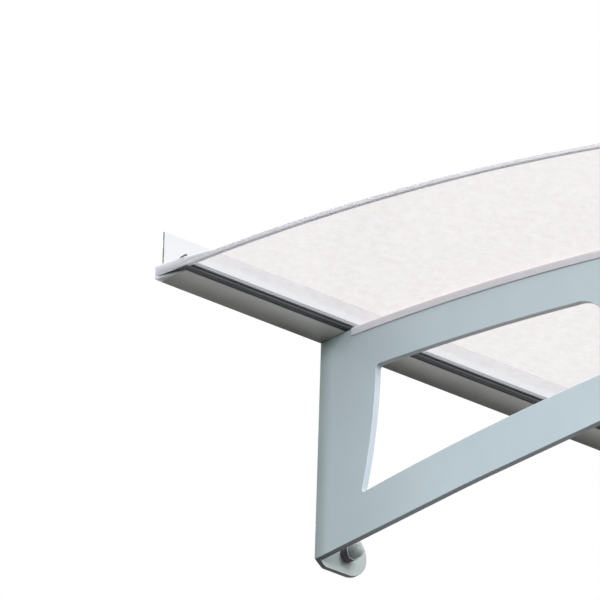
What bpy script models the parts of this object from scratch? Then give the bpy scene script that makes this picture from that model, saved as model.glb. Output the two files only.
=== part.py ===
"""Door canopy: a clear curved roof sheet in a wall rail, carried by two plate brackets.

Metres, +Z up. The wall is the plane Y = 0 and the canopy reaches out towards -Y.
The origin lies on the back of the wall rail, half way along it, at the height of its fixing screws.
"out" in names and comments is the distance from the wall, so a point lies at Y = -out.
"""

import math

import bmesh
import bpy
from mathutils import Matrix, Vector

# Overall sizes
ROOF_WIDTH = 1.500
ROOF_REACH = 0.950
ROOF_RADIUS = 5.200
ROOF_PITCH = math.radians(3.6)

# Clearances
SEAT_GAP = 0.0003
HOLE_CLEARANCE = 0.0004

# Roof sheet
SHEET_THICKNESS = 0.0030
SHEET_REAR_GAP = 0.0015

# Wall rail, an extrusion with a tall upstand behind and a slot between two jaws
RAIL_SCREW_HEIGHT = 0.038
UPSTAND_HEIGHT = 0.070
UPSTAND_THICKNESS = 0.0025
SLOT_BACK = 0.0040
SHEET_SEAT_HEIGHT = 0.0058
FLANGE_REACH = 0.0480
NOSE_REACH = 0.0585
NOSE_TOP_HEIGHT = 0.0108
NOSE_ROUNDING = 0.0012
NOSE_GROOVE = 0.0010
JAW_ROOT_HEIGHT = 0.0170
JAW_WALL = 0.0015
CHAMBER_START = 0.0065
CHAMBER_END_WALL = 0.0035
EDGE_BREAK = 0.0003

# Gaskets in the slot of the rail
GASKET_THICKNESS = 0.0008
LOWER_GASKET_PROUD = 0.0015
UPPER_GASKET_INSET = 0.0005
GASKET_REAR_INSET = 0.0040

# End caps of the rail
RAIL_CAP_LENGTH = 0.0110
CAP_SKIN = 0.0015
CAP_OVERSIZE = 0.0015
CAP_BACK_LEG = 0.0045
CAP_LUG_LENGTH = 0.0120
CAP_NOSE_COVER = 0.0025
CAP_NOSE_CHAMFER = 0.0015
CAP_TONGUE_LENGTH = 0.0470
CAP_TONGUE_TIP = 0.0006
CAP_TONGUE_ROOT = 0.0030

# Rubber stops that lie on the end caps beside the nose
STOP_LENGTH = 0.0120
STOP_WIDTH = 0.0030
STOP_HEIGHT = 0.0034
STOP_REAR_HEIGHT = 0.0014
STOP_EDGE_INSET = 0.0010
STOP_NOSE_INSET = 0.0020

# Trims round the free edges of the sheet
TRIM_WEB = 0.0015
TRIM_LIP = 0.0015
SIDE_TRIM_WIDTH = 0.0060
FRONT_TRIM_DEPTH = 0.0160
FRONT_TRIM_WEB = 0.0022
FRONT_DRIP_HEIGHT = 0.0090

# Brackets
BRACKET_INSET = 0.272
PLATE_THICKNESS = 0.0088
PLATE_BEVEL = 0.0010
PLATE_WALL_GAP = 0.0005
LEG_HEIGHT = 0.302
LEG_STEP_GAP = 0.0025
ARM_DEPTH = 0.0655
ARM_REACH = 0.872
ARM_TIP_DEPTH = 0.052
BAR_RISE = 0.0080
BAR_KNEE_OUT = 0.300
BAR_KNEE_ROUNDING = 3.0
BAR_SWEEP_LENGTH = 0.272
BAR_DEPTH = 0.064
POST_WIDTH = 0.060
HEEL_ROUNDING = 0.003
STEP_ROUNDING = 0.0004
TIP_ROUNDING = 0.008
TIP_TOP_ROUNDING = 0.002

# Window between leg, arm, lower bar and post
WINDOW_START_TOP = 0.112
WINDOW_START_BOTTOM = 0.090
WINDOW_END_SETBACK = 0.050
WINDOW_END_LEAN = 0.023
WINDOW_FLOOR_NEAR = 0.063
WINDOW_FLOOR_FAR = 0.071
WINDOW_FLOOR_CAMBER = 0.0060
WINDOW_ROUNDINGS = (0.005, 0.012, 0.077, 0.004)
TIP_WINDOW_ROUNDINGS = (0.010, 0.006, 0.010)

# Strip between each arm and the sheet
STRIP_TOP = 0.0020
STRIP_HEIGHT = 0.0110
STRIP_WALL = 0.0015
STRIP_BEAD_WIDTH = 0.0030
STRIP_BEAD_HEIGHT = 0.0016
STRIP_STEP_GAP = 0.0007
STRIP_END_GAP = 0.004

# Ears that are bolted to the wall
EAR_THICKNESS = 0.0075
EAR_RADIUS = 0.0298
EAR_CENTRE = 0.0505
EAR_CENTRE_ABOVE_HEEL = 0.0218
EAR_ROOT_INSET = 0.0015
EAR_ROOT_SINK = 0.0010
EAR_ROOT_OVERLAP = 0.0060
EAR_OPENING = math.radians(8)
EAR_SHOULDER = 0.0130
EAR_SHOULDER_ROUNDING = 0.0110
UPPER_EAR_DROP = 0.072

# Wall bolts with their collars, washers and domed covers
BOLT_ACROSS = 0.0462
BOLT_ABOVE_HEEL = 0.0180
BOLT_RADIUS = 0.004
BOLT_HEAD_RADIUS = 0.0062
BOLT_HEAD_HEIGHT = 0.0048
COLLAR_RADIUS = 0.0102
COLLAR_LENGTH = 0.0135
COLLAR_CHAMFER = 0.0006
WASHER_RADIUS = 0.0112
WASHER_THICKNESS = 0.0015
COVER_RADIUS = 0.0092
COVER_WALL = 0.0014
COVER_SIDE = 0.0040

# Screws that hold the rail to the wall
RAIL_SCREW_COUNT = 4
RAIL_SCREW_END_DISTANCE = 0.115
RAIL_SCREW_RADIUS = 0.0024
RAIL_SCREW_HEAD_RADIUS = 0.0052
RAIL_SCREW_HEAD_HEIGHT = 0.0030
RAIL_SCREW_CROWN_RADIUS = 0.0029
RAIL_SCREW_SHOULDER_HEIGHT = 0.0011
RAIL_SCREW_SOCKET_RADIUS = 0.0017
RAIL_SCREW_SOCKET_DEPTH = 0.0014

# How finely curved stretches are divided
ROOF_STEPS = 22
ARC_STEPS = 5
SWEEP_STEPS = 14
LEAN_STEPS = 8
FLOOR_STEPS = 12
RAIL_STEPS = 4
LOBE_STEPS = 16
TURNED_STEPS = 20
DOME_STEPS = 5
CUT_MARGIN = 0.002

# Heights and places that follow from the sizes above
RAIL_BOTTOM = -RAIL_SCREW_HEIGHT
HALF_WIDTH = ROOF_WIDTH / 2
SHEET_HALF_WIDTH = HALF_WIDTH - TRIM_WEB - SEAT_GAP
RAIL_HALF_LENGTH = HALF_WIDTH - RAIL_CAP_LENGTH
ROOF_CENTRE_OUT = -ROOF_RADIUS * math.sin(ROOF_PITCH)
ROOF_CENTRE_Z = RAIL_BOTTOM + SHEET_SEAT_HEIGHT - ROOF_RADIUS * math.cos(ROOF_PITCH)
HEEL_Z = RAIL_BOTTOM - LEG_HEIGHT
GASKET_SPACE = GASKET_THICKNESS + 2 * SEAT_GAP
LOWER_GASKET_REACH = NOSE_REACH + LOWER_GASKET_PROUD
UPPER_GASKET_REACH = NOSE_REACH - UPPER_GASKET_INSET
GASKET_REAR = SLOT_BACK + GASKET_REAR_INSET
CAP_NOSE_REACH = NOSE_REACH + CAP_NOSE_COVER
LEG_STEP = LOWER_GASKET_REACH + LEG_STEP_GAP
STRIP_START = LEG_STEP + STRIP_STEP_GAP
BAR_SWEEP_START = ARM_REACH - BAR_SWEEP_LENGTH
WINDOW_END_TOP = BAR_SWEEP_START - WINDOW_END_SETBACK
WINDOW_END_BOTTOM = WINDOW_END_TOP + WINDOW_END_LEAN
SHEET_REAR = SLOT_BACK + SHEET_REAR_GAP
SHEET_FRONT = ROOF_REACH - FRONT_TRIM_WEB - SEAT_GAP
SIDE_TRIM_FRONT = ROOF_REACH - FRONT_TRIM_DEPTH - SEAT_GAP
TRIM_LOW = -SEAT_GAP - TRIM_LIP
TRIM_HIGH = SHEET_THICKNESS + SEAT_GAP + TRIM_LIP
JAW_LOW = SHEET_THICKNESS + GASKET_SPACE
STRIP_SHOULDER = -SEAT_GAP - STRIP_BEAD_HEIGHT
ARM_TOP = STRIP_SHOULDER - STRIP_TOP - SEAT_GAP
STRIP_HALF_WIDTH = PLATE_THICKNESS / 2 + SEAT_GAP + STRIP_WALL


def clear_scene():
    for item in list(bpy.data.objects):
        bpy.data.objects.remove(item, do_unlink=True)


def new_collection(name):
    collection = bpy.data.collections.new(name)
    bpy.context.scene.collection.children.link(collection)
    return collection


def make_material(name, color, roughness, metallic=0.0, alpha=1.0):
    material = bpy.data.materials.new(name)
    material.use_nodes = True
    shader = material.node_tree.nodes["Principled BSDF"]
    shader.inputs["Base Color"].default_value = (*color, 1.0)
    shader.inputs["Roughness"].default_value = roughness
    shader.inputs["Metallic"].default_value = metallic
    shader.inputs["Alpha"].default_value = alpha
    return material


# Heights of the roof, as circles about one centre line

def roof_z(out, lift=0.0):
    """Height of the sheet's underside at a distance from the wall, raised square to the arc by lift."""
    across = out - ROOF_CENTRE_OUT
    return ROOF_CENTRE_Z + math.sqrt((ROOF_RADIUS + lift) ** 2 - across ** 2)


def roof_line(start, end, lift, steps=ROOF_STEPS):
    """Points along the roof's arc from start to end."""
    outs = [start + (end - start) * step / steps for step in range(steps + 1)]
    return [Vector((out, roof_z(out, lift))) for out in outs]


def roof_band(start, end, low, high, steps=ROOF_STEPS):
    """Closed outline between two lines parallel to the roof."""
    return roof_line(start, end, low, steps) + roof_line(end, start, high, steps)


def arc_line(centre, radius, first, last, steps=ARC_STEPS):
    """Points on a circle from one angle to another, in radians."""
    angles = [first + (last - first) * step / steps for step in range(steps + 1)]
    return [centre + radius * Vector((math.cos(angle), math.sin(angle))) for angle in angles]


def arc_through(start, end, rise, steps=FLOOR_STEPS):
    """Points on a shallow arc from start to end whose middle stands rise above the chord."""
    points = []
    for step in range(steps + 1):
        share = step / steps
        point = start.lerp(end, share)
        point.y += rise * 4 * share * (1 - share)
        points.append(point)
    return points


def rounded_outline(sides, roundings):
    """Join sides end to end, rounding the corner after each side.

    sides: lists of points, each starting where the one before it ends.
    roundings: the radius at the end of each side.
    """
    count = len(sides)
    trims = []
    arcs = []
    for index, radius in enumerate(roundings):
        corner = sides[index][-1]
        back = (sides[index][-2] - corner).normalized()
        ahead = (sides[(index + 1) % count][1] - corner).normalized()
        half = back.angle(ahead) / 2
        reach = radius / math.tan(half)
        centre = corner + (back + ahead).normalized() * radius / math.sin(half)
        first = corner + back * reach - centre
        turn = math.pi - 2 * half
        if ahead.x * back.y - ahead.y * back.x < 0:
            turn = -turn
        start = math.atan2(first.y, first.x)
        trims.append(reach)
        arcs.append(arc_line(centre, radius, start, start + turn))
    outline = []
    for index, side in enumerate(sides):
        before = trims[index - 1]
        after = trims[index]
        for point in side[1:-1]:
            if (point - side[0]).length > before and (point - side[-1]).length > after:
                outline.append(point)
        outline.extend(arcs[index])
    return outline


# Ways of making a solid

def section_frame(across):
    """Places an outline of (out, height) points in the section plane at X = across."""
    rotation = Matrix(((0, 0, -1), (-1, 0, 0), (0, 1, 0))).to_4x4()
    return Matrix.Translation((across, 0, 0)) @ rotation


def wall_frame(out):
    """Places an outline of (across, height) points in the plane parallel to the wall."""
    rotation = Matrix(((1, 0, 0), (0, 0, -1), (0, 1, 0))).to_4x4()
    return Matrix.Translation((0, -out, 0)) @ rotation


def plan_frame(height):
    """Places an outline of (across, Y) points in a level plane."""
    return Matrix.Translation((0, 0, height))


def outward_frame(across, height, out):
    """Places a turned piece so that its axis points out from the wall."""
    rotation = Matrix(((1, 0, 0), (0, 0, -1), (0, 1, 0))).to_4x4()
    return Matrix.Translation((across, -out, height)) @ rotation


def add_object(name, mesh, collection, material=None):
    item = bpy.data.objects.new(name, mesh)
    if material:
        mesh.materials.append(material)
    collection.objects.link(item)
    return item


def as_cutter(item):
    item.hide_render = True
    item.display_type = 'WIRE'
    return item


def flat_solid(name, outlines, thickness, frame, collection, material=None):
    """A flat solid from a filled 2D curve; the first outline is the edge, the others are holes."""
    curve = bpy.data.curves.new(name, 'CURVE')
    curve.dimensions = '2D'
    curve.fill_mode = 'BOTH'
    curve.extrude = thickness / 2
    for outline in outlines:
        spline = curve.splines.new('POLY')
        spline.points.add(len(outline) - 1)
        for point, place in zip(spline.points, outline):
            point.co = (place[0], place[1], 0.0, 1.0)
        spline.use_cyclic_u = True
    drawn = bpy.data.objects.new(name + "_outline", curve)
    bpy.context.scene.collection.objects.link(drawn)
    depsgraph = bpy.context.evaluated_depsgraph_get()
    mesh = bpy.data.meshes.new_from_object(drawn.evaluated_get(depsgraph))
    bpy.data.objects.remove(drawn, do_unlink=True)
    work = bmesh.new()
    work.from_mesh(mesh)
    bmesh.ops.remove_doubles(work, verts=work.verts, dist=0.000001)
    bmesh.ops.transform(work, matrix=frame, verts=work.verts)
    bmesh.ops.recalc_face_normals(work, faces=work.faces)
    work.to_mesh(mesh)
    work.free()
    mesh.name = name
    return add_object(name, mesh, collection, material)


def turned_solid(name, profile, frame, collection, material=None, closed=False):
    """A turned solid from (radius, height) points that run down its outer side."""
    mesh = bpy.data.meshes.new(name)
    links = [(index, index + 1) for index in range(len(profile) - 1)]
    if closed:
        links.append((len(profile) - 1, 0))
    mesh.from_pydata([(radius, 0.0, height) for radius, height in profile], links, [])
    item = add_object(name, mesh, collection, material)
    item.matrix_world = frame
    screw = item.modifiers.new("turn", 'SCREW')
    screw.steps = TURNED_STEPS
    screw.render_steps = TURNED_STEPS
    screw.use_merge_vertices = True
    screw.merge_threshold = 0.00001
    screw.use_smooth_shade = False
    return item


def round_cutter(name, radius, length, frame, collection, segments=TURNED_STEPS):
    """A cylinder for drilling, centred on its frame's origin."""
    mesh = bpy.data.meshes.new(name)
    work = bmesh.new()
    bmesh.ops.create_cone(work, cap_ends=True, segments=segments,
                          radius1=radius, radius2=radius, depth=length)
    work.to_mesh(mesh)
    work.free()
    item = add_object(name, mesh, collection)
    item.matrix_world = frame
    return as_cutter(item)


def combine(item, other, operation):
    """Adds an exact Boolean to item; other stays outside the model."""
    boolean = item.modifiers.new(other.name, 'BOOLEAN')
    boolean.operation = operation
    boolean.solver = 'EXACT'
    boolean.object = as_cutter(other)


def soften_edges(item, width, segments=1):
    bevel = item.modifiers.new("edges", 'BEVEL')
    bevel.width = width
    bevel.segments = segments
    bevel.limit_method = 'ANGLE'
    bevel.angle_limit = math.radians(60)
    bevel.use_clamp_overlap = True


def shade_round(item, angle=35):
    item.data.shade_smooth()
    item.data.set_sharp_from_angle(angle=math.radians(angle))


# Wall rail

def jaw_top_z(out, extra=0.0):
    """Height of the upper jaw's sloping top."""
    share = (out - UPSTAND_THICKNESS) / (NOSE_REACH - UPSTAND_THICKNESS)
    height = JAW_ROOT_HEIGHT + (NOSE_TOP_HEIGHT - JAW_ROOT_HEIGHT) * share
    return RAIL_BOTTOM + height + extra


def rail_outline():
    """Section of the rail: lower flange, slot, upper jaw with its nose, and upstand."""
    flange_lift = -GASKET_SPACE
    nose_low = roof_z(NOSE_REACH, JAW_LOW)
    nose_high = jaw_top_z(NOSE_REACH)
    groove_middle = (nose_low + nose_high) / 2
    upstand_top = RAIL_BOTTOM + UPSTAND_HEIGHT
    outline = [
        Vector((0.0, RAIL_BOTTOM)),
        Vector((FLANGE_REACH - EDGE_BREAK, RAIL_BOTTOM)),
        Vector((FLANGE_REACH, RAIL_BOTTOM + EDGE_BREAK)),
    ]
    outline += roof_line(FLANGE_REACH, SLOT_BACK, flange_lift, RAIL_STEPS)
    outline += roof_line(SLOT_BACK, NOSE_REACH - EDGE_BREAK, JAW_LOW, RAIL_STEPS)
    outline += [
        Vector((NOSE_REACH, nose_low + EDGE_BREAK)),
        Vector((NOSE_REACH, groove_middle - NOSE_GROOVE / 2)),
        Vector((NOSE_REACH - NOSE_GROOVE / 2, groove_middle)),
        Vector((NOSE_REACH, groove_middle + NOSE_GROOVE / 2)),
    ]
    rounding_centre = Vector((NOSE_REACH - NOSE_ROUNDING, nose_high - NOSE_ROUNDING))
    outline += arc_line(rounding_centre, NOSE_ROUNDING, 0.0, math.pi / 2)
    outline += [
        Vector((UPSTAND_THICKNESS, jaw_top_z(UPSTAND_THICKNESS))),
        Vector((UPSTAND_THICKNESS, upstand_top - EDGE_BREAK)),
        Vector((UPSTAND_THICKNESS - EDGE_BREAK, upstand_top)),
        Vector((0.0, upstand_top)),
    ]
    return outline


def chamber_outline(inset=0.0):
    """Section of the hollow in the upper jaw, or of a lug that fits it with a clearance."""
    start = CHAMBER_START + inset
    end = NOSE_REACH - CHAMBER_END_WALL - inset
    low = roof_line(start, end, JAW_LOW + JAW_WALL + inset, RAIL_STEPS)
    high = [
        Vector((end, jaw_top_z(end, -JAW_WALL - inset))),
        Vector((start, jaw_top_z(start, -JAW_WALL - inset))),
    ]
    return low + high


def rail_screw_places():
    reach = RAIL_HALF_LENGTH - RAIL_SCREW_END_DISTANCE
    step = 2 * reach / (RAIL_SCREW_COUNT - 1)
    return [-reach + step * index for index in range(RAIL_SCREW_COUNT)]


def build_rail(parts, cutters, finish):
    rail = flat_solid("wall_rail", [rail_outline(), chamber_outline()], 2 * RAIL_HALF_LENGTH,
                      section_frame(0.0), parts, finish["rail"])
    for index, across in enumerate(rail_screw_places(), start=1):
        hole = round_cutter(f"rail_hole_{index}", RAIL_SCREW_RADIUS + HOLE_CLEARANCE,
                            2 * UPSTAND_THICKNESS + 2 * CUT_MARGIN,
                            outward_frame(across, 0.0, 0.0), cutters)
        combine(rail, hole, 'DIFFERENCE')


def build_rail_screws(parts, cutters, finish):
    """Button-headed screws through the upstand; their tails stop at the wall's surface."""
    head_base = UPSTAND_THICKNESS + SEAT_GAP
    head_top = head_base + RAIL_SCREW_HEAD_HEIGHT
    shoulder = head_base + RAIL_SCREW_SHOULDER_HEIGHT
    fall = head_top - shoulder
    spread = RAIL_SCREW_HEAD_RADIUS - RAIL_SCREW_CROWN_RADIUS
    middle = math.radians(45)
    profile = [
        (0.0, head_top),
        (RAIL_SCREW_CROWN_RADIUS, head_top),
        (RAIL_SCREW_CROWN_RADIUS + spread * math.sin(middle), shoulder + fall * math.cos(middle)),
        (RAIL_SCREW_HEAD_RADIUS, shoulder),
        (RAIL_SCREW_HEAD_RADIUS, head_base),
        (RAIL_SCREW_RADIUS, head_base),
        (RAIL_SCREW_RADIUS, SEAT_GAP),
        (0.0, SEAT_GAP),
    ]
    for index, across in enumerate(rail_screw_places(), start=1):
        screw = turned_solid(f"rail_screw_{index}", profile, outward_frame(across, 0.0, 0.0),
                             parts, finish["steel"])
        socket_out = head_top - RAIL_SCREW_SOCKET_DEPTH / 2 + CUT_MARGIN / 2
        socket = round_cutter(f"rail_screw_socket_{index}", RAIL_SCREW_SOCKET_RADIUS,
                              RAIL_SCREW_SOCKET_DEPTH + CUT_MARGIN,
                              outward_frame(across, 0.0, socket_out), cutters, segments=6)
        combine(screw, socket, 'DIFFERENCE')


def cap_top_z(out):
    """Height of an end cap's top, a little above the jaw that it covers."""
    return jaw_top_z(out, CAP_OVERSIZE)


def cap_skin_outline():
    """Section of the thin outer skin of an end cap, which hides the sheet's edge in the slot."""
    outline = [
        Vector((0.0, RAIL_BOTTOM)),
        Vector((CAP_BACK_LEG, RAIL_BOTTOM)),
    ]
    outline += roof_line(CAP_BACK_LEG, CAP_NOSE_REACH, TRIM_LOW, RAIL_STEPS)
    nose_high = cap_top_z(CAP_NOSE_REACH)
    outline += [
        Vector((CAP_NOSE_REACH, nose_high - CAP_NOSE_CHAMFER)),
        Vector((CAP_NOSE_REACH - CAP_NOSE_CHAMFER, nose_high)),
        Vector((0.0, cap_top_z(0.0))),
    ]
    return outline


def cap_plug_outline():
    """Section of the block that stands in front of the upper jaw's end."""
    outline = roof_line(0.0, NOSE_REACH, SHEET_THICKNESS + SEAT_GAP, RAIL_STEPS)
    outline += [
        Vector((NOSE_REACH, cap_top_z(NOSE_REACH))),
        Vector((0.0, cap_top_z(0.0))),
    ]
    return outline


def cap_tongue_outline():
    """Section of the tongue that runs on over the side trim and tapers down to it."""
    start = NOSE_REACH - CAP_TONGUE_ROOT
    end = CAP_NOSE_REACH + CAP_TONGUE_LENGTH
    floor = TRIM_HIGH + SEAT_GAP
    outline = roof_line(start, end, floor, RAIL_STEPS)
    outline += [
        Vector((end, roof_z(end, floor + CAP_TONGUE_TIP))),
        Vector((CAP_NOSE_REACH, cap_top_z(CAP_NOSE_REACH) - CAP_NOSE_CHAMFER / 2)),
        Vector((start, cap_top_z(start) - CAP_NOSE_CHAMFER / 2)),
    ]
    return outline


def build_rail_cap(side, name, parts, cutters, finish):
    """A moulded end cap: skin, plug, lug, tongue and a foot that tapers to the flange."""
    outer = HALF_WIDTH
    rail_end = RAIL_HALF_LENGTH + SEAT_GAP
    cap = flat_solid(f"rail_end_cap_{name}", [cap_skin_outline()], CAP_SKIN,
                     section_frame(side * (outer - CAP_SKIN / 2)), parts, finish["plastic"])
    plug_length = outer - CAP_SKIN / 2 - rail_end
    plug = flat_solid(f"cap_plug_{name}", [cap_plug_outline()], plug_length,
                      section_frame(side * (rail_end + plug_length / 2)), cutters)
    combine(cap, plug, 'UNION')
    lug_end = rail_end - CAP_LUG_LENGTH
    lug_length = rail_end + (outer - rail_end) / 2 - lug_end
    lug = flat_solid(f"cap_lug_{name}", [chamber_outline(SEAT_GAP)], lug_length,
                     section_frame(side * (lug_end + lug_length / 2)), cutters)
    combine(cap, lug, 'UNION')
    tongue_width = SIDE_TRIM_WIDTH - 2 * EDGE_BREAK
    tongue = flat_solid(f"cap_tongue_{name}", [cap_tongue_outline()], tongue_width,
                        section_frame(side * (outer - SIDE_TRIM_WIDTH / 2)), cutters)
    combine(cap, tongue, 'UNION')
    foot_plan = [
        (side * rail_end, 0.0),
        (side * (outer - CAP_SKIN / 2), 0.0),
        (side * (outer - CAP_SKIN / 2), -CAP_BACK_LEG),
        (side * rail_end, -FLANGE_REACH),
    ]
    foot_height = 2 * SHEET_SEAT_HEIGHT
    foot = flat_solid(f"cap_foot_{name}", [foot_plan], foot_height,
                      plan_frame(RAIL_BOTTOM + foot_height / 2), cutters)
    under_gasket = roof_line(-CUT_MARGIN, FLANGE_REACH + CUT_MARGIN, -GASKET_SPACE, RAIL_STEPS)
    above = [
        Vector((FLANGE_REACH + CUT_MARGIN, RAIL_BOTTOM + 2 * foot_height)),
        Vector((-CUT_MARGIN, RAIL_BOTTOM + 2 * foot_height)),
    ]
    shave = flat_solid(f"cap_foot_shave_{name}", [under_gasket + above], 4 * RAIL_CAP_LENGTH,
                       section_frame(side * outer), cutters)
    combine(foot, shave, 'DIFFERENCE')
    combine(cap, foot, 'UNION')


def build_stop(side, name, parts, finish):
    """A tapered rubber stop that lies along the sloping top of an end cap, close to its nose."""
    end = CAP_NOSE_REACH - STOP_NOSE_INSET
    start = end - STOP_LENGTH
    outline = [
        Vector((start, cap_top_z(start) + SEAT_GAP)),
        Vector((end, cap_top_z(end) + SEAT_GAP)),
        Vector((end, cap_top_z(end) + SEAT_GAP + STOP_HEIGHT)),
        Vector((start, cap_top_z(start) + SEAT_GAP + STOP_REAR_HEIGHT)),
    ]
    middle = side * (HALF_WIDTH - STOP_EDGE_INSET - STOP_WIDTH / 2)
    flat_solid(f"cap_stop_{name}", [outline], STOP_WIDTH, section_frame(middle),
               parts, finish["rubber"])


# Roof sheet, gaskets and trims

def build_sheet(parts, finish):
    outline = roof_band(SHEET_REAR, SHEET_FRONT, 0.0, SHEET_THICKNESS)
    sheet = flat_solid("roof_sheet", [outline], 2 * SHEET_HALF_WIDTH, section_frame(0.0),
                       parts, finish["sheet"])
    shade_round(sheet)


def build_gaskets(parts, finish):
    """Flat rubber strips below and above the sheet where the rail grips it."""
    lower = roof_band(GASKET_REAR, LOWER_GASKET_REACH, -SEAT_GAP - GASKET_THICKNESS, -SEAT_GAP,
                      RAIL_STEPS)
    flat_solid("rail_lower_gasket", [lower], 2 * SHEET_HALF_WIDTH, section_frame(0.0),
               parts, finish["rubber"])
    high = SHEET_THICKNESS + SEAT_GAP
    upper = roof_band(GASKET_REAR, UPPER_GASKET_REACH, high, high + GASKET_THICKNESS, RAIL_STEPS)
    flat_solid("rail_upper_gasket", [upper], 2 * RAIL_HALF_LENGTH, section_frame(0.0),
               parts, finish["rubber"])


def build_side_trim(side, name, parts, cutters, finish):
    """A channel pushed over the side edge of the sheet, from the rail's cap to the front trim."""
    start = CAP_NOSE_REACH + SEAT_GAP
    band = roof_band(start, SIDE_TRIM_FRONT, TRIM_LOW, TRIM_HIGH)
    middle = side * (HALF_WIDTH - SIDE_TRIM_WIDTH / 2)
    trim = flat_solid(f"side_trim_{name}", [band], SIDE_TRIM_WIDTH, section_frame(middle),
                      parts, finish["plastic"])
    slot = roof_band(start - CUT_MARGIN, SIDE_TRIM_FRONT + CUT_MARGIN,
                     -SEAT_GAP, SHEET_THICKNESS + SEAT_GAP)
    slot_width = SIDE_TRIM_WIDTH - TRIM_WEB + CUT_MARGIN
    slot_frame = section_frame(side * (HALF_WIDTH - TRIM_WEB - slot_width / 2))
    cutter = flat_solid(f"side_trim_slot_{name}", [slot], slot_width, slot_frame, cutters)
    combine(trim, cutter, 'DIFFERENCE')
    shade_round(trim)


def front_section_point(back, lift):
    """A point of the front trim's section, back along the roof from its front face."""
    angle = math.asin((ROOF_REACH - ROOF_CENTRE_OUT) / ROOF_RADIUS)
    along = Vector((math.cos(angle), -math.sin(angle)))
    square = Vector((math.sin(angle), math.cos(angle)))
    front = Vector((ROOF_REACH, roof_z(ROOF_REACH)))
    return front - along * back + square * lift


def front_trim_outline():
    """A channel over the front edge of the sheet with a drip edge hanging from its web."""
    places = [
        (0.0, TRIM_LOW - FRONT_DRIP_HEIGHT),
        (0.0, TRIM_HIGH),
        (FRONT_TRIM_DEPTH, TRIM_HIGH),
        (FRONT_TRIM_DEPTH, SHEET_THICKNESS + SEAT_GAP),
        (FRONT_TRIM_WEB, SHEET_THICKNESS + SEAT_GAP),
        (FRONT_TRIM_WEB, -SEAT_GAP),
        (FRONT_TRIM_DEPTH, -SEAT_GAP),
        (FRONT_TRIM_DEPTH, TRIM_LOW),
        (FRONT_TRIM_WEB, TRIM_LOW),
        (FRONT_TRIM_WEB, TRIM_LOW - FRONT_DRIP_HEIGHT),
    ]
    return [front_section_point(back, lift) for back, lift in places]


def front_cap_outline():
    """The outer shape of the front trim's section, without its slot."""
    places = [
        (0.0, TRIM_LOW - FRONT_DRIP_HEIGHT),
        (0.0, TRIM_HIGH),
        (FRONT_TRIM_DEPTH, TRIM_HIGH),
        (FRONT_TRIM_DEPTH, TRIM_LOW),
        (FRONT_TRIM_WEB, TRIM_LOW - FRONT_DRIP_HEIGHT),
    ]
    return [front_section_point(back, lift) for back, lift in places]


def build_front_trim(parts, finish):
    flat_solid("front_trim", [front_trim_outline()], 2 * SHEET_HALF_WIDTH, section_frame(0.0),
               parts, finish["plastic"])
    for side, name in ((-1, "left"), (1, "right")):
        flat_solid(f"front_trim_cap_{name}", [front_cap_outline()], TRIM_WEB,
                   section_frame(side * (HALF_WIDTH - TRIM_WEB / 2)), parts, finish["plastic"])


# Brackets

def bar_sweep():
    """Centre and radius of the arc by which the lower bar's underside climbs to the tip."""
    level = HEEL_Z + BAR_RISE
    run = ARM_REACH - BAR_SWEEP_START
    climb = roof_z(ARM_REACH, -ARM_TIP_DEPTH) - level
    radius = (run ** 2 + climb ** 2) / (2 * climb)
    return Vector((BAR_SWEEP_START, level + radius)), radius


def plate_outline():
    """Edge of the bracket: lower bar, tip, arm's top edge, step under the rail, and wall side."""
    centre, radius = bar_sweep()
    turn = math.asin((ARM_REACH - BAR_SWEEP_START) / radius)
    heel = Vector((PLATE_WALL_GAP, HEEL_Z))
    knee = Vector((BAR_KNEE_OUT, HEEL_Z + BAR_RISE))
    sweep = arc_line(centre, radius, -math.pi / 2, -math.pi / 2 + turn, SWEEP_STEPS)
    tip_high = Vector((ARM_REACH, roof_z(ARM_REACH, ARM_TOP)))
    step_low = Vector((LEG_STEP, roof_z(LEG_STEP, ARM_TOP)))
    step_high = Vector((LEG_STEP, RAIL_BOTTOM - SEAT_GAP))
    leg_corner = Vector((PLATE_WALL_GAP, RAIL_BOTTOM - SEAT_GAP))
    sides = [
        [heel, knee],
        [knee] + sweep,
        [sweep[-1], tip_high],
        roof_line(ARM_REACH, LEG_STEP, ARM_TOP),
        [step_low, step_high],
        [step_high, leg_corner],
        [leg_corner, heel],
    ]
    roundings = (BAR_KNEE_ROUNDING, TIP_ROUNDING, TIP_TOP_ROUNDING, STEP_ROUNDING, STEP_ROUNDING,
                 STEP_ROUNDING, HEEL_ROUNDING)
    return rounded_outline(sides, roundings)


def window_outline():
    """The long window, whose near side leans towards the wall as it goes down."""
    top_start = Vector((WINDOW_START_TOP, roof_z(WINDOW_START_TOP, -ARM_DEPTH)))
    top_end = Vector((WINDOW_END_TOP, roof_z(WINDOW_END_TOP, -ARM_DEPTH)))
    bottom_start = Vector((WINDOW_START_BOTTOM, HEEL_Z + WINDOW_FLOOR_NEAR))
    bottom_end = Vector((WINDOW_END_BOTTOM, HEEL_Z + WINDOW_FLOOR_FAR))
    near_side = []
    for step in range(LEAN_STEPS + 1):
        share = step / LEAN_STEPS
        lean = (WINDOW_START_TOP - WINDOW_START_BOTTOM) * share ** 2
        height = top_start.y + (bottom_start.y - top_start.y) * share
        near_side.append(Vector((WINDOW_START_TOP - lean, height)))
    sides = [
        roof_line(WINDOW_END_TOP, WINDOW_START_TOP, -ARM_DEPTH),
        near_side,
        arc_through(bottom_start, bottom_end, WINDOW_FLOOR_CAMBER),
        [bottom_end, top_end],
    ]
    top_near, bottom_far, top_far, bottom_near = WINDOW_ROUNDINGS
    return rounded_outline(sides, (top_near, bottom_near, bottom_far, top_far))


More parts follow.
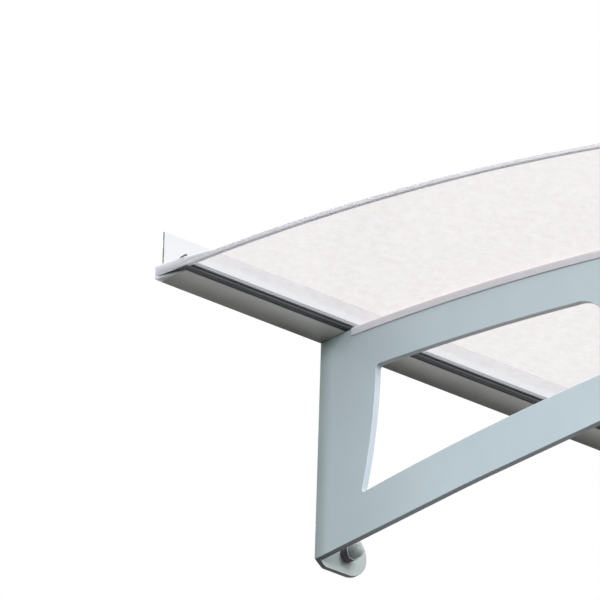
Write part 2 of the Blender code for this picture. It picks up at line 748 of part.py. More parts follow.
def tip_window_outline():
    """The small window between post, arm and the sweep of the lower bar."""
    centre, radius = bar_sweep()
    inner = radius - BAR_DEPTH
    start_top = WINDOW_END_TOP + POST_WIDTH
    start_bottom = WINDOW_END_BOTTOM + POST_WIDTH
    first = math.asin((start_bottom - centre.x) / inner)

    def sweep_point(angle):
        return centre + inner * Vector((math.sin(angle), -math.cos(angle)))

    low = first
    high = math.pi / 2
    while (high - low) * inner > EDGE_BREAK:
        middle = sweep_point((low + high) / 2)
        if middle.y < roof_z(middle.x, -ARM_DEPTH):
            low = (low + high) / 2
        else:
            high = (low + high) / 2
    angles = [first + (low - first) * step / LEAN_STEPS for step in range(LEAN_STEPS)]
    bottom = [sweep_point(angle) for angle in angles]
    top = roof_line(sweep_point(low).x, start_top, -ARM_DEPTH, LEAN_STEPS)
    sides = [
        bottom + [top[0]],
        top,
        [top[-1], bottom[0]],
    ]
    near_bottom, tip, near_top = TIP_WINDOW_ROUNDINGS
    return rounded_outline(sides, (tip, near_top, near_bottom))


def ear_outline(side, centre_z, flip):
    """A rounded lobe that reaches sideways from the plate along the wall.

    Distances run from the plate's outer face; flip turns the ear upside down.
    """
    below = -math.pi / 2
    above = math.pi / 2 + EAR_OPENING
    lobe = arc_line(Vector((EAR_CENTRE, 0.0)), EAR_RADIUS, below, above, LOBE_STEPS)
    heel = Vector((EAR_ROOT_INSET, EAR_ROOT_SINK - EAR_CENTRE_ABOVE_HEEL))
    shoulder = Vector((EAR_SHOULDER, -EAR_RADIUS))
    root_top = Vector((EAR_ROOT_INSET, EAR_RADIUS + EAR_ROOT_OVERLAP))
    sides = [
        [heel, shoulder],
        [shoulder] + lobe,
        [lobe[-1], root_top],
        [root_top, heel],
    ]
    outline = rounded_outline(sides, (EAR_SHOULDER_ROUNDING, EDGE_BREAK, EDGE_BREAK, EDGE_BREAK))
    face = HALF_WIDTH - BRACKET_INSET
    return [Vector((side * (face - point.x), centre_z + flip * point.y)) for point in outline]


def ear_places():
    """Height of each ear's centre and of its bolt, and which way up the ear is."""
    lower = HEEL_Z + EAR_CENTRE_ABOVE_HEEL
    upper = RAIL_BOTTOM - UPPER_EAR_DROP
    bolt_offset = BOLT_ABOVE_HEEL - EAR_CENTRE_ABOVE_HEEL
    return {
        "lower": (lower, lower + bolt_offset, 1),
        "upper": (upper, upper - bolt_offset, -1),
    }


def bolt_across(side):
    return side * (HALF_WIDTH - BRACKET_INSET - BOLT_ACROSS)


def build_bracket(side, name, parts, cutters, finish):
    """A flat plate bracket with its windows, and two ears cast on at the wall."""
    middle = side * (HALF_WIDTH - BRACKET_INSET - PLATE_THICKNESS / 2)
    bracket = flat_solid(f"bracket_{name}", [plate_outline(), window_outline(), tip_window_outline()],
                         PLATE_THICKNESS, section_frame(middle), parts, finish["paint"])
    soften_edges(bracket, PLATE_BEVEL)
    for level, (ear_z, bolt_z, flip) in ear_places().items():
        ear = flat_solid(f"ear_{level}_{name}", [ear_outline(side, ear_z, flip)], EAR_THICKNESS,
                         wall_frame(EAR_THICKNESS / 2), cutters)
        combine(bracket, ear, 'UNION')
        hole = round_cutter(f"ear_hole_{level}_{name}", BOLT_RADIUS + HOLE_CLEARANCE,
                            2 * (EAR_THICKNESS + CUT_MARGIN),
                            outward_frame(bolt_across(side), bolt_z, 0.0), cutters)
        combine(bracket, hole, 'DIFFERENCE')
    shade_round(bracket)


def build_strip(side, name, parts, cutters, finish):
    """A pale channel over the arm's top edge, with a bead on which the sheet lies."""
    middle = side * (HALF_WIDTH - BRACKET_INSET - PLATE_THICKNESS / 2)
    end = ARM_REACH - STRIP_END_GAP
    frame = section_frame(middle)
    floor = STRIP_SHOULDER - STRIP_HEIGHT
    band = roof_band(STRIP_START, end, floor, STRIP_SHOULDER)
    strip = flat_solid(f"arm_strip_{name}", [band], 2 * STRIP_HALF_WIDTH, frame,
                       parts, finish["strip"])
    bead = roof_band(STRIP_START, end, STRIP_SHOULDER - STRIP_TOP / 2, -SEAT_GAP)
    rib = flat_solid(f"strip_bead_{name}", [bead], STRIP_BEAD_WIDTH, frame, cutters)
    combine(strip, rib, 'UNION')
    channel = roof_band(STRIP_START - CUT_MARGIN, end + CUT_MARGIN, floor - CUT_MARGIN,
                        STRIP_SHOULDER - STRIP_TOP)
    cutter = flat_solid(f"strip_channel_{name}", [channel], PLATE_THICKNESS + 2 * SEAT_GAP,
                        frame, cutters)
    combine(strip, cutter, 'DIFFERENCE')
    shade_round(strip)


# Wall bolts

def build_bolt_set(side, level, bolt_z, name, parts, finish):
    """Bolt, collar, washer and domed cover at one ear, each a seat gap from the next."""
    frame = outward_frame(bolt_across(side), bolt_z, 0.0)
    bore = BOLT_RADIUS + HOLE_CLEARANCE
    tag = f"{level}_{name}"

    collar_start = EAR_THICKNESS + SEAT_GAP
    collar_end = collar_start + COLLAR_LENGTH
    collar = [
        (COLLAR_RADIUS - COLLAR_CHAMFER, collar_end),
        (COLLAR_RADIUS, collar_end - COLLAR_CHAMFER),
        (COLLAR_RADIUS, collar_start),
        (bore, collar_start),
        (bore, collar_end),
    ]
    item = turned_solid(f"bolt_collar_{tag}", collar, frame, parts, finish["collar"], closed=True)
    shade_round(item)

    washer_start = collar_end + SEAT_GAP
    washer_end = washer_start + WASHER_THICKNESS
    washer = [
        (WASHER_RADIUS - COLLAR_CHAMFER / 2, washer_end),
        (WASHER_RADIUS, washer_end - COLLAR_CHAMFER / 2),
        (WASHER_RADIUS, washer_start),
        (bore, washer_start),
        (bore, washer_end),
    ]
    item = turned_solid(f"bolt_washer_{tag}", washer, frame, parts, finish["steel"], closed=True)
    shade_round(item)

    head_start = washer_end + SEAT_GAP
    head_end = head_start + BOLT_HEAD_HEIGHT
    bolt = [
        (0.0, head_end),
        (BOLT_HEAD_RADIUS - COLLAR_CHAMFER, head_end),
        (BOLT_HEAD_RADIUS, head_end - COLLAR_CHAMFER),
        (BOLT_HEAD_RADIUS, head_start),
        (BOLT_RADIUS, head_start),
        (BOLT_RADIUS, SEAT_GAP),
        (0.0, SEAT_GAP),
    ]
    item = turned_solid(f"wall_bolt_{tag}", bolt, frame, parts, finish["steel"])
    shade_round(item)

    dome_base = head_start + COVER_SIDE
    middle = Vector((0.0, dome_base))
    inner_radius = COVER_RADIUS - COVER_WALL
    outer = arc_line(middle, COVER_RADIUS, math.pi / 2, 0.0, DOME_STEPS)
    inner = arc_line(middle, inner_radius, 0.0, math.pi / 2, DOME_STEPS - 2)
    cover = [(0.0, dome_base + COVER_RADIUS)]
    cover += [(point.x, point.y) for point in outer[1:]]
    cover += [(COVER_RADIUS, head_start), (inner_radius, head_start)]
    cover += [(point.x, point.y) for point in inner[:-1]]
    cover.append((0.0, dome_base + inner_radius))
    item = turned_solid(f"bolt_cover_{tag}", cover, frame, parts, finish["cover"])
    shade_round(item)


def make_finishes():
    return {
        "rail": make_material("satin_aluminium", (0.60, 0.61, 0.60), 0.38, 0.85),
        "plastic": make_material("pale_trim_plastic", (0.62, 0.62, 0.66), 0.40),
        "rubber": make_material("black_rubber", (0.020, 0.021, 0.024), 0.70),
        "sheet": make_material("clear_sheet", (0.90, 0.87, 0.87), 0.12, 0.0, 0.35),
        "paint": make_material("blue_grey_paint", (0.36, 0.43, 0.46), 0.42),
        "strip": make_material("pale_strip_plastic", (0.66, 0.65, 0.68), 0.45),
        "collar": make_material("dark_collar_plastic", (0.050, 0.055, 0.060), 0.50),
        "cover": make_material("pale_cover_plastic", (0.60, 0.64, 0.62), 0.35),
        "steel": make_material("zinc_plated_steel", (0.70, 0.70, 0.69), 0.30, 0.90),
    }


def main():
    clear_scene()
    parts = new_collection("door_canopy")
    cutters = new_collection("cutters")
    finish = make_finishes()
    build_rail(parts, cutters, finish)
    build_rail_screws(parts, cutters, finish)
    build_gaskets(parts, finish)
    build_sheet(parts, finish)
    build_front_trim(parts, finish)
    for side, name in ((-1, "left"), (1, "right")):
        build_rail_cap(side, name, parts, cutters, finish)
        build_stop(side, name, parts, finish)
        build_side_trim(side, name, parts, cutters, finish)
        build_bracket(side, name, parts, cutters, finish)
        build_strip(side, name, parts, cutters, finish)
        for level, (_, bolt_z, _) in ear_places().items():
            build_bolt_set(side, level, bolt_z, name, parts, finish)


main()
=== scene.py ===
"""Scene of the door canopy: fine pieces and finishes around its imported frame.

Metres, +Z up. The wall is the plane Y = 0 and the canopy reaches out towards -Y. "out" is the
distance from the wall, "across" lies along X, and "lift" is a height above the sheet's underside.
"""

import logging
import math
from dataclasses import dataclass, field
from enum import Enum
from typing import Optional, Sequence, Union

import bmesh
import bpy
from mathutils import Matrix, Vector
from mathutils.geometry import tessellate_polygon


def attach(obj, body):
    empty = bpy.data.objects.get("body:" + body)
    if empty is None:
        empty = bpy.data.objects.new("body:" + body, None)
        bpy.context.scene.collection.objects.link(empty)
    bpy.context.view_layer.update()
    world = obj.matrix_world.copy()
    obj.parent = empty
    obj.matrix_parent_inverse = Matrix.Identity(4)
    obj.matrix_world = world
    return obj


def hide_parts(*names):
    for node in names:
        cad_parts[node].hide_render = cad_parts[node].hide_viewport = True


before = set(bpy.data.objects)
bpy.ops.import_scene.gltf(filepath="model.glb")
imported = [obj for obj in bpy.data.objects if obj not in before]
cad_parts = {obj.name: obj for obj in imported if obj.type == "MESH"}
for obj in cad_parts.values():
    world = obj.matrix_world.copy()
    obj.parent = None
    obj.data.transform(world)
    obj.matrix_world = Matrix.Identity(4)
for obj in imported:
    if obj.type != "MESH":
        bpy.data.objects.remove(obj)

Color = tuple[float, float, float]
Span = tuple[float, float]
Ring = list[Vector]
Mesh = bpy.types.Mesh
Socket = bpy.types.NodeSocket
Number = Union[float, "Signal"]
Value = Union[Number, Sequence[float], Socket]

BODY = "root"
QUARTER = math.pi / 2
MERGE = 0.000002
SIDES = ((-1, "left"), (1, "right"))
# Roundings of small corners
HAIR = 0.0001
CRISP = 0.0002
FINE = 0.0003
SMALL = 0.0004
SOFT = 0.0005
log = logging.getLogger("canopy")


class Slot(Enum):
    """Material slots of the record."""

    RAIL = "rail"
    STEEL = "steel"
    RUBBER = "rubber"
    TRIM = "trim"
    SHEET = "sheet"
    BRACKET = "bracket"
    STRIP = "strip"
    COLLAR = "collar"
    COVER = "cover"


class Line(Enum):
    """What the height of a section's corner is counted from."""

    FLAT = "the origin's height"
    SHEET = "the sheet's underside"
    JAW = "the sloping top of the rail's jaw"


FLAT, SHEET, JAW = Line


# Shader maths

class Signal:
    """A number that varies over a surface; arithmetic on it adds Math nodes."""

    def __init__(self, graph: "Graph", socket: Socket) -> None:
        """Keeps the graph and the output that carries the number."""
        self.graph = graph
        self.socket = socket

    def __add__(self, other: Number) -> "Signal":
        """Sum."""
        return self.graph.math("ADD", self, other)

    def __sub__(self, other: Number) -> "Signal":
        """Difference."""
        return self.graph.math("SUBTRACT", self, other)

    def __rsub__(self, other: float) -> "Signal":
        """Difference from a plain number."""
        return self.graph.math("SUBTRACT", other, self)

    def __mul__(self, other: Number) -> "Signal":
        """Product."""
        return self.graph.math("MULTIPLY", self, other)

    __radd__ = __add__
    __rmul__ = __mul__

    def between(self, low: float, high: float) -> "Signal":
        """Smooth step from 0 at low to 1 at high, which may be the lower of the two."""
        return self.graph.signal("ShaderNodeMapRange", 0,
                                 {"Value": self, "From Min": low, "From Max": high},
                                 interpolation_type="SMOOTHSTEP")

    def strongest(self, other: Number) -> "Signal":
        """The larger of two numbers."""
        return self.graph.math("MAXIMUM", self, other)

    def unsigned(self) -> "Signal":
        """The number without its sign."""
        return self.strongest(0.0 - self)


class Graph:
    """Node graph of one material or of the world."""

    def __init__(self, tree: bpy.types.NodeTree) -> None:
        """Empties the tree and keeps it."""
        tree.nodes.clear()
        self.tree = tree

    @staticmethod
    def pick(sockets: Sequence[Socket], key: str) -> Socket:
        """The first socket in use with this name or identifier."""
        return next(item for item in sockets
                    if item.enabled and key in (item.name, item.identifier))

    def node(self, kind: str, sockets: Optional[dict[str, Value]] = None,
             **settings: str) -> bpy.types.Node:
        """Adds a node.

        Args:
            kind: the node's type.
            sockets: values or links by the socket's name or identifier.
            settings: properties such as an operation, set before the sockets.
        Returns:
            The node.
        """
        made = self.tree.nodes.new(kind)
        for key, setting in settings.items():
            setattr(made, key, setting)
        for key, value in (sockets or {}).items():
            target = self.pick(made.inputs, key)
            if isinstance(value, Signal):
                value = value.socket
            if isinstance(value, Socket):
                self.tree.links.new(value, target)
            elif isinstance(value, tuple) and len(value) < len(target.default_value):
                target.default_value = (*value, 1.0)
            else:
                target.default_value = value
        return made

    def signal(self, kind: str, output: Union[int, str],
               sockets: Optional[dict[str, Value]] = None, **settings: str) -> Signal:
        """One output of a new node, as a number."""
        return Signal(self, self.node(kind, sockets, **settings).outputs[output])

    def math(self, operation: str, first: Number, second: Number) -> Signal:
        """Adds one Math node."""
        return self.signal("ShaderNodeMath", 0, {"Value": first, "Value_001": second},
                           operation=operation)

    def place(self, stretch: Sequence[float] = (1.0, 1.0, 1.0)) -> Socket:
        """Place on the object in metres, with factors that pull a pattern out or together."""
        sockets = {"Vector": self.node("ShaderNodeTexCoord").outputs["Object"],
                   "Vector_001": tuple(stretch)}
        return self.node("ShaderNodeVectorMath", sockets, operation="MULTIPLY").outputs[0]

    def axes(self) -> tuple[Signal, Signal, Signal]:
        """X, Y and Z of the place on the object."""
        split = self.node("ShaderNodeSeparateXYZ", {"Vector": self.place()})
        return tuple(Signal(self, output) for output in split.outputs)

    def facing(self, axis: str) -> Signal:
        """How far the surface faces along one axis, from -1 to 1."""
        normal = self.node("ShaderNodeNewGeometry").outputs["Normal"]
        return self.signal("ShaderNodeSeparateXYZ", axis, {"Vector": normal})

    def noise(self, size: float, detail: float = 2.0, rough: float = 0.5,
              stretch: Sequence[float] = (1.0, 1.0, 1.0)) -> Signal:
        """Soft noise around one half, with features of this size in metres."""
        sockets = {"Vector": self.place(stretch), "Scale": 1.0 / size, "Detail": detail,
                   "Roughness": rough}
        return self.signal("ShaderNodeTexNoise", 0, sockets, noise_dimensions="3D")

    def mix(self, share: Number, first: Value, second: Value, blend: str = "MIX") -> Socket:
        """Mixes a share of the second colour into the first."""
        made = self.node("ShaderNodeMix", {"Factor_Float": share, "A_Color": first,
                                           "B_Color": second}, data_type="RGBA", blend_type=blend)
        return self.pick(made.outputs, "Result_Color")

    def shade(self, color: Value, amount: Signal) -> Socket:
        """Multiplies a colour by an amount."""
        grey = self.node("ShaderNodeCombineXYZ", {"X": amount, "Y": amount, "Z": amount})
        return self.mix(1.0, color, grey.outputs[0], "MULTIPLY")

    def bump(self, height: Signal, depth: float, strength: float) -> Socket:
        """A share of the normal of a height from 0 to 1, where 1 means this depth in metres."""
        sockets = {"Strength": strength, "Distance": depth, "Height": height}
        return self.node("ShaderNodeBump", sockets).outputs["Normal"]

    def surface(self, sockets: dict[str, Value]) -> None:
        """Ends the graph in a Principled shader with these sockets."""
        shader = self.node("ShaderNodeBsdfPrincipled", sockets)
        self.node("ShaderNodeOutputMaterial", {"Surface": shader.outputs[0]})

    def choose(self, share: Signal, first: bpy.types.Node, second: bpy.types.Node,
               ending: str) -> None:
        """Ends the graph in an output node with a share of the second shader in the first."""
        either = self.node("ShaderNodeMixShader", {"Fac": share, "Shader": first.outputs[0],
                                                   "Shader_001": second.outputs[0]})
        self.node(ending, {"Surface": either.outputs[0]})


# Finishes

@dataclass(frozen=True)
class Finish:
    """A finish, which makes its material once."""

    name: str
    color: Color

    def material(self) -> bpy.types.Material:
        """The material of this finish, made when it is first asked for.

        Returns:
            The material.
        """
        made = bpy.data.materials.get(self.name)
        if made is None:
            made = bpy.data.materials.new(self.name)
            made.use_nodes = True
            self.draw(Graph(made.node_tree))
        return made

    def draw(self, graph: Graph) -> None:
        """Builds the nodes in the material's empty graph."""
        raise NotImplementedError


@dataclass(frozen=True)
class SatinPaint(Finish):
    """Powder coat with orange peel, with painted shade by the wall and rail and painted light away
    from them.
    """

    # Colour of the painted shade by the wall and under the rail.
    painted_light_color: Color = (0.215, 0.262, 0.250)
    # Lighter copies of the paint for front faces, ears and edges: painted light.
    lit_ear_color: Color = (0.55, 0.63, 0.605)
    lit_edge_color: Color = (0.475, 0.555, 0.60)
    # Paler colour of undersides away from the wall: painted light.
    under_light_color: Color = (0.80, 0.84, 0.80)
    # Dark colour of the low undersides by the wall: painted shade.
    under_shade_color: Color = (0.040, 0.038, 0.038)
    flat_facing: Span = (0.45, 0.80)
    front_facing: Span = (-0.60, -0.90)
    under_facing: Span = (-0.35, -0.80)
    brightening_depth: Span = (-0.04, -0.26)
    wall_depth: Span = (-0.030, 0.0)
    rail_depth: Span = (-0.085, -0.030)
    rail_height: Span = (-0.0783, -0.0383)
    ear_depth: Span = (-0.03, -0.06)
    under_shade_depth: Span = (-0.16, -0.006)
    under_light_depth: Span = (-0.10, -0.38)
    low_height: Span = (-0.190, -0.250)
    peel_size: float = 0.0014
    peel_depth: float = 0.00003
    roughness: float = 0.42

    def draw(self, graph: Graph) -> None:
        """Paint, painted shade and painted light, peel and gloss."""
        _, depth, height = graph.axes()
        flat = graph.facing("X").unsigned().between(*self.flat_facing)
        cloud = graph.noise(0.060, 3.0)
        speck = graph.noise(0.004, 3.0, 0.7)
        # Painted light: the paint turns up to a fifth lighter away from the wall.
        painted_brightening = 1.0 + 0.20 * depth.between(*self.brightening_depth)
        paint = graph.shade(self.color, painted_brightening * (0.93 + 0.08 * cloud + 0.06 * (speck - 0.5)))
        # Painted shade: the sides of the plate darken, mottled, by the wall and under the rail.
        by_wall = depth.between(*self.wall_depth) * (0.45 + 0.5 * cloud)
        by_rail = 0.50 * height.between(*self.rail_height) * depth.between(*self.rail_depth)
        painted_light = flat * (by_wall + by_rail)
        color = graph.mix(painted_light, paint, self.painted_light_color)
        # Painted light: faces turned to the front get lighter copies of the paint, one for the ears
        # by the wall and one further out.
        front = graph.facing("Y").between(*self.front_facing)
        edges = graph.mix(depth.between(*self.ear_depth), self.lit_ear_color, self.lit_edge_color)
        color = graph.mix(front, color, graph.shade(edges, 0.94 + 0.12 * cloud))
        under = graph.facing("Z").between(*self.under_facing)
        low = height.between(*self.low_height)
        # Painted light: downward faces above the low bars turn paler away from the wall.
        pale = 0.85 * under * (1.0 - low) * depth.between(*self.under_light_depth)
        color = graph.mix(pale, color, self.under_light_color)
        # Painted shade: downward faces of the low bars darken towards the wall.
        under_shade = under * (0.20 + 0.68 * depth.between(*self.under_shade_depth))
        color = graph.mix(under_shade * low, color, self.under_shade_color)
        peel = graph.noise(self.peel_size)
        graph.surface({"Base Color": color,
                       "Roughness": self.roughness + 0.10 * (cloud - 0.5) + 0.10 * painted_light,
                       "IOR": 1.46, "Specular IOR Level": 0.30,
                       "Normal": graph.bump(peel, self.peel_depth, 0.5)})


@dataclass(frozen=True)
class ExtrudedMetal(Finish):
    """Anodised extrusion: lines drawn along X, a dark nose and painted shade under it by the wall.
    """

    # Colour of the painted shade under the flange by the wall.
    rail_shade_color: Color = (0.045, 0.043, 0.036)
    # Dark green of faces turned along X, the cut ends: a painted shadow line.
    end_shadow_color: Color = (0.060, 0.100, 0.088)
    # Paler, nearly non-metal copy of the metal for the flange's downward faces: painted light.
    painted_under_color: Color = (0.70, 0.69, 0.64)
    nose_color: Color = (0.18, 0.185, 0.20)
    cut_facing: Span = (0.7, 0.9)
    under_facing: Span = (-0.3, -0.8)
    under_height: Span = (-0.0365, -0.0377)
    rail_shade_depth: Span = (-0.052, -0.002)
    rail_shade_across: Span = (0.72, 0.48)
    nose_depth: Span = (-0.0565, -0.0575)
    nose_height: Span = (-0.0260, -0.0275)
    line_size: float = 0.00045
    line_depth: float = 0.00002
    line_run: float = 0.004
    roughness: float = 0.40
    metallic: float = 0.35

    def draw(self, graph: Graph) -> None:
        """Metal, drawn lines, painted shade under it and a painted shadow on its cut ends."""
        across, depth, height = graph.axes()
        lines = graph.noise(self.line_size, 3.0, 0.6, (self.line_run, 1.0, 1.0))
        cloud = graph.noise(0.035, 4.0, 0.6, (0.5, 1.0, 1.0))
        fine = graph.noise(0.0022, 3.0, 0.7)
        metal = graph.shade(self.color, 0.92 + 0.10 * lines + 0.06 * (cloud - 0.5))
        under = graph.facing("Z").between(*self.under_facing)
        under = under * height.between(*self.under_height)
        middle = 0.56 + 0.23 * across.unsigned().between(*self.rail_shade_across)
        # Painted shade: the flange's underside darkens, mottled, towards the wall and towards the
        # middle.
        rail_shade = under * (0.07 + depth.between(*self.rail_shade_depth) * middle
                         + 0.30 * (cloud - 0.5) + 0.16 * (fine - 0.5))
        nose = depth.between(*self.nose_depth) * height.between(*self.nose_height)
        # Painted light: the flange's downward faces take their own paler, less metallic copy of the
        # metal.
        metal = graph.mix(under, metal, self.painted_under_color)
        metal = graph.mix(0.66 * nose * (1.0 - under), metal, self.nose_color)
        color = graph.mix(rail_shade, metal, self.rail_shade_color)
        # Painted shadow: faces turned along X, the cut ends, take a dark green that stands in for
        # the shadow line at the upstand's end.
        cut = graph.facing("X").unsigned().between(*self.cut_facing)
        graph.surface({"Base Color": graph.mix(cut, color, self.end_shadow_color),
                       "Metallic": self.metallic * (1.0 - 0.8 * under),
                       "Roughness": self.roughness + 0.12 * (lines - 0.5) + 0.30 * rail_shade,
                       "Normal": graph.bump(lines, self.line_depth, 0.6)})


@dataclass(frozen=True)
class MouldedPlastic(Finish):
    """Moulded or extruded plastic with a fine grain, soft clouds and a little dust."""

    roughness: float = 0.42
    mottle: float = 0.08
    translucent: float = 0.0
    dust_color: Color = (0.72, 0.71, 0.68)
    grain_size: float = 0.0007
    grain_depth: float = 0.00002

    def draw(self, graph: Graph) -> None:
        """Plastic, mottle, grain and gloss."""
        cloud = graph.noise(0.022, 3.0)
        grain = graph.noise(self.grain_size, 2.0, 0.6)
        dust = graph.noise(0.003, 4.0, 0.7).between(0.60, 0.78)
        tone = 1.0 - self.mottle / 2 + self.mottle * cloud + 0.03 * (grain - 0.5)
        color = graph.mix(0.10 * dust, graph.shade(self.color, tone), self.dust_color)
        graph.surface({"Base Color": color,
                       "Roughness": self.roughness + 0.12 * (cloud - 0.5) + 0.15 * dust,
                       "IOR": 1.48,
                       "Subsurface Weight": self.translucent,
                       "Subsurface Radius": (1.0, 1.0, 1.0),
                       "Subsurface Scale": 0.012,
                       "Normal": graph.bump(grain, self.grain_depth, 0.5)})


@dataclass(frozen=True)
class BlackRubber(Finish):
    """Rubber with a grey bloom and worn lip, pale dust specks and lines drawn along X."""

    bloom_color: Color = (0.100, 0.103, 0.115)
    speck_color: Color = (0.62, 0.62, 0.62)
    lip_depth: Span = (-0.0535, -0.0580)
    line_depth: float = 0.00003
    roughness: float = 0.58

    def draw(self, graph: Graph) -> None:
        """Rubber, bloom, specks and lines."""
        bloom = graph.noise(0.012, 4.0, 0.65, (0.3, 1.0, 1.0)).between(0.42, 0.70)
        speck = graph.noise(0.0016, 1.0).between(0.735, 0.78)
        lines = graph.noise(0.0006, 2.0, 0.5, (0.02, 1.0, 1.0))
        color = graph.mix(0.35 * bloom, self.color, self.bloom_color)
        color = graph.mix(0.7 * speck, color, self.speck_color)
        worn = graph.axes()[1].between(*self.lip_depth)
        graph.surface({"Base Color": graph.mix(0.85 * worn, color, self.bloom_color),
                       "Roughness": self.roughness + 0.14 * bloom,
                       "Normal": graph.bump(lines, self.line_depth, 0.6)})


@dataclass(frozen=True)
class ClearSheet(Finish):
    """Clear sheet with a painted view of the wall behind it, a thin warm tint, softly mottled, that
    stops short of the rail.
    """

    # Warm colour of the painted view of the wall seen through the sheet.
    painted_light_color: Color = (0.99, 0.36, 0.35)
    cool_tint: Color = (0.98, 0.97, 1.0)
    warm_tint: Color = (1.02, 1.0, 0.93)
    painted_view_depth: Span = (-0.086, -0.091)
    ragged: float = 0.034
    clear_alpha: float = 0.05
    painted_view_alpha: float = 0.092
    sag_depth: float = 0.0004
    roughness: float = 0.07

    def draw(self, graph: Graph) -> None:
        """Painted view of the wall, its mottle, and gloss."""
        # Painted view: beyond the rail's band a warm mottled colour and opacity stand in for the
        # pinkish wall seen through the sheet.
        border = graph.axes()[1] + self.ragged * (graph.noise(0.009, 4.0, 0.7) - 0.5)
        painted_light = border.between(*self.painted_view_depth)
        fine = graph.noise(0.0060, 3.0, 0.7)
        mottle = 0.65 * graph.noise(0.014, 5.0, 0.72) + 0.35 * fine - 0.5
        tone = graph.shade(self.painted_light_color, 1.0 + 0.55 * mottle)
        warm = graph.mix(fine.between(0.35, 0.65), self.cool_tint, self.warm_tint)
        tone = graph.mix(1.0, tone, warm, "MULTIPLY")
        alpha = self.clear_alpha + (self.painted_view_alpha - self.clear_alpha) * painted_light
        graph.surface({"Base Color": graph.mix(painted_light, self.color, tone),
                       "Alpha": alpha + 0.28 * painted_light * mottle,
                       "Roughness": self.roughness + 0.10 * painted_light,
                       "IOR": 1.45,
                       "Normal": graph.bump(graph.noise(0.090, 1.0), self.sag_depth, 0.4)})


@dataclass(frozen=True)
class PlatedSteel(Finish):
    """Zinc plating with turning marks and a dull patchy bloom."""

    bloom_color: Color = (0.33, 0.34, 0.33)
    mark_depth: float = 0.00001
    roughness: float = 0.40
    metallic: float = 0.60

    def draw(self, graph: Graph) -> None:
        """Plating, marks and bloom."""
        bloom = graph.noise(0.005, 4.0, 0.6).between(0.45, 0.70)
        marks = graph.noise(0.0003, 2.0, 0.5, (1.0, 4.0, 1.0))
        plating = graph.shade(self.color, 0.94 + 0.12 * marks)
        graph.surface({"Base Color": graph.mix(0.6 * bloom, plating, self.bloom_color),
                       "Metallic": self.metallic * (1.0 - 0.4 * bloom),
                       "Roughness": self.roughness + 0.20 * bloom,
                       "Normal": graph.bump(marks, self.mark_depth, 0.5)})


@dataclass(frozen=True)
class Finishes:
    """The canopy's finishes by slot."""

    rail: Finish = ExtrudedMetal("satin_extrusion", (0.49, 0.495, 0.505))
    steel: Finish = PlatedSteel("zinc_plating", (0.44, 0.46, 0.45))
    rubber: Finish = BlackRubber("black_rubber", (0.016, 0.017, 0.020))
    trim: Finish = MouldedPlastic("pale_trim", (0.64, 0.64, 0.68), translucent=0.9)
    sheet: Finish = ClearSheet("clear_sheet", (0.72, 0.78, 0.84))
    bracket: Finish = SatinPaint("blue_grey_paint", (0.44, 0.515, 0.545))
    strip: Finish = MouldedPlastic("pale_strip", (0.68, 0.67, 0.70), 0.46, translucent=0.4)
    collar: Finish = MouldedPlastic("dark_collar", (0.080, 0.068, 0.072), 0.55, mottle=0.30)
    cover: Finish = MouldedPlastic("pale_cover", (0.42, 0.465, 0.45), 0.36)

    def of(self, slot: Slot) -> bpy.types.Material:
        """The material of a slot."""
        return getattr(self, slot.value).material()


# Outlines and meshes

@dataclass(frozen=True)
class Plane:
    """A plane in the model; u and v lie in it and w stands square to it."""

    origin: Vector
    along: Vector
    up: Vector
    square: Vector

    def at(self, point: Vector, w: float = 0.0) -> Vector:
        """The point of the model at (u, v) and w from the plane."""
        return self.origin + self.along * point[0] + self.up * point[1] + self.square * w


def section_plane(across: float) -> Plane:
    """The section square to the wall at X = across, with u as out and v as height."""
    return Plane(Vector((across, 0, 0)), Vector((0, -1, 0)), Vector((0, 0, 1)), Vector((1, 0, 0)))


def wall_plane(across: float, height: float, out: float = 0.0) -> Plane:
    """A plane parallel to the wall, with u along X, v as height and w pointing out."""
    return Plane(Vector((across, -out, height)), Vector((1, 0, 0)), Vector((0, 0, 1)),
                 Vector((0, -1, 0)))


@dataclass(frozen=True)
class RoofArc:
    """The circle of the sheet's underside, in a section square to the wall."""

    radius: float = 5.200
    pitch: float = math.radians(3.6)
    seat_z: float = -0.0322

    def z(self, out: float, lift: float = 0.0) -> float:
        """Height of a line that stands this far above the sheet's underside."""
        rise = math.sqrt((self.radius + lift) ** 2
                         - (out + self.radius * math.sin(self.pitch)) ** 2)
        return self.seat_z - self.radius * math.cos(self.pitch) + rise

    def point(self, out: float, lift: float = 0.0) -> Vector:
        """(out, height) of a point above the roof's line."""
        return Vector((out, self.z(out, lift)))

    def line(self, start: float, end: float, lift: float, steps: int) -> Ring:
        """Points (out, height) along the roof's line."""
        return [self.point(start + (end - start) * step / steps, lift) for step in range(steps + 1)]


ROOF = RoofArc()


def arc(centre: Vector, radius: float, first: float, last: float, steps: int) -> Ring:
    """Points on a circle from the first angle to the last."""
    angles = [first + (last - first) / steps * step for step in range(steps + 1)]
    return [centre + radius * Vector((math.cos(angle), math.sin(angle))) for angle in angles]


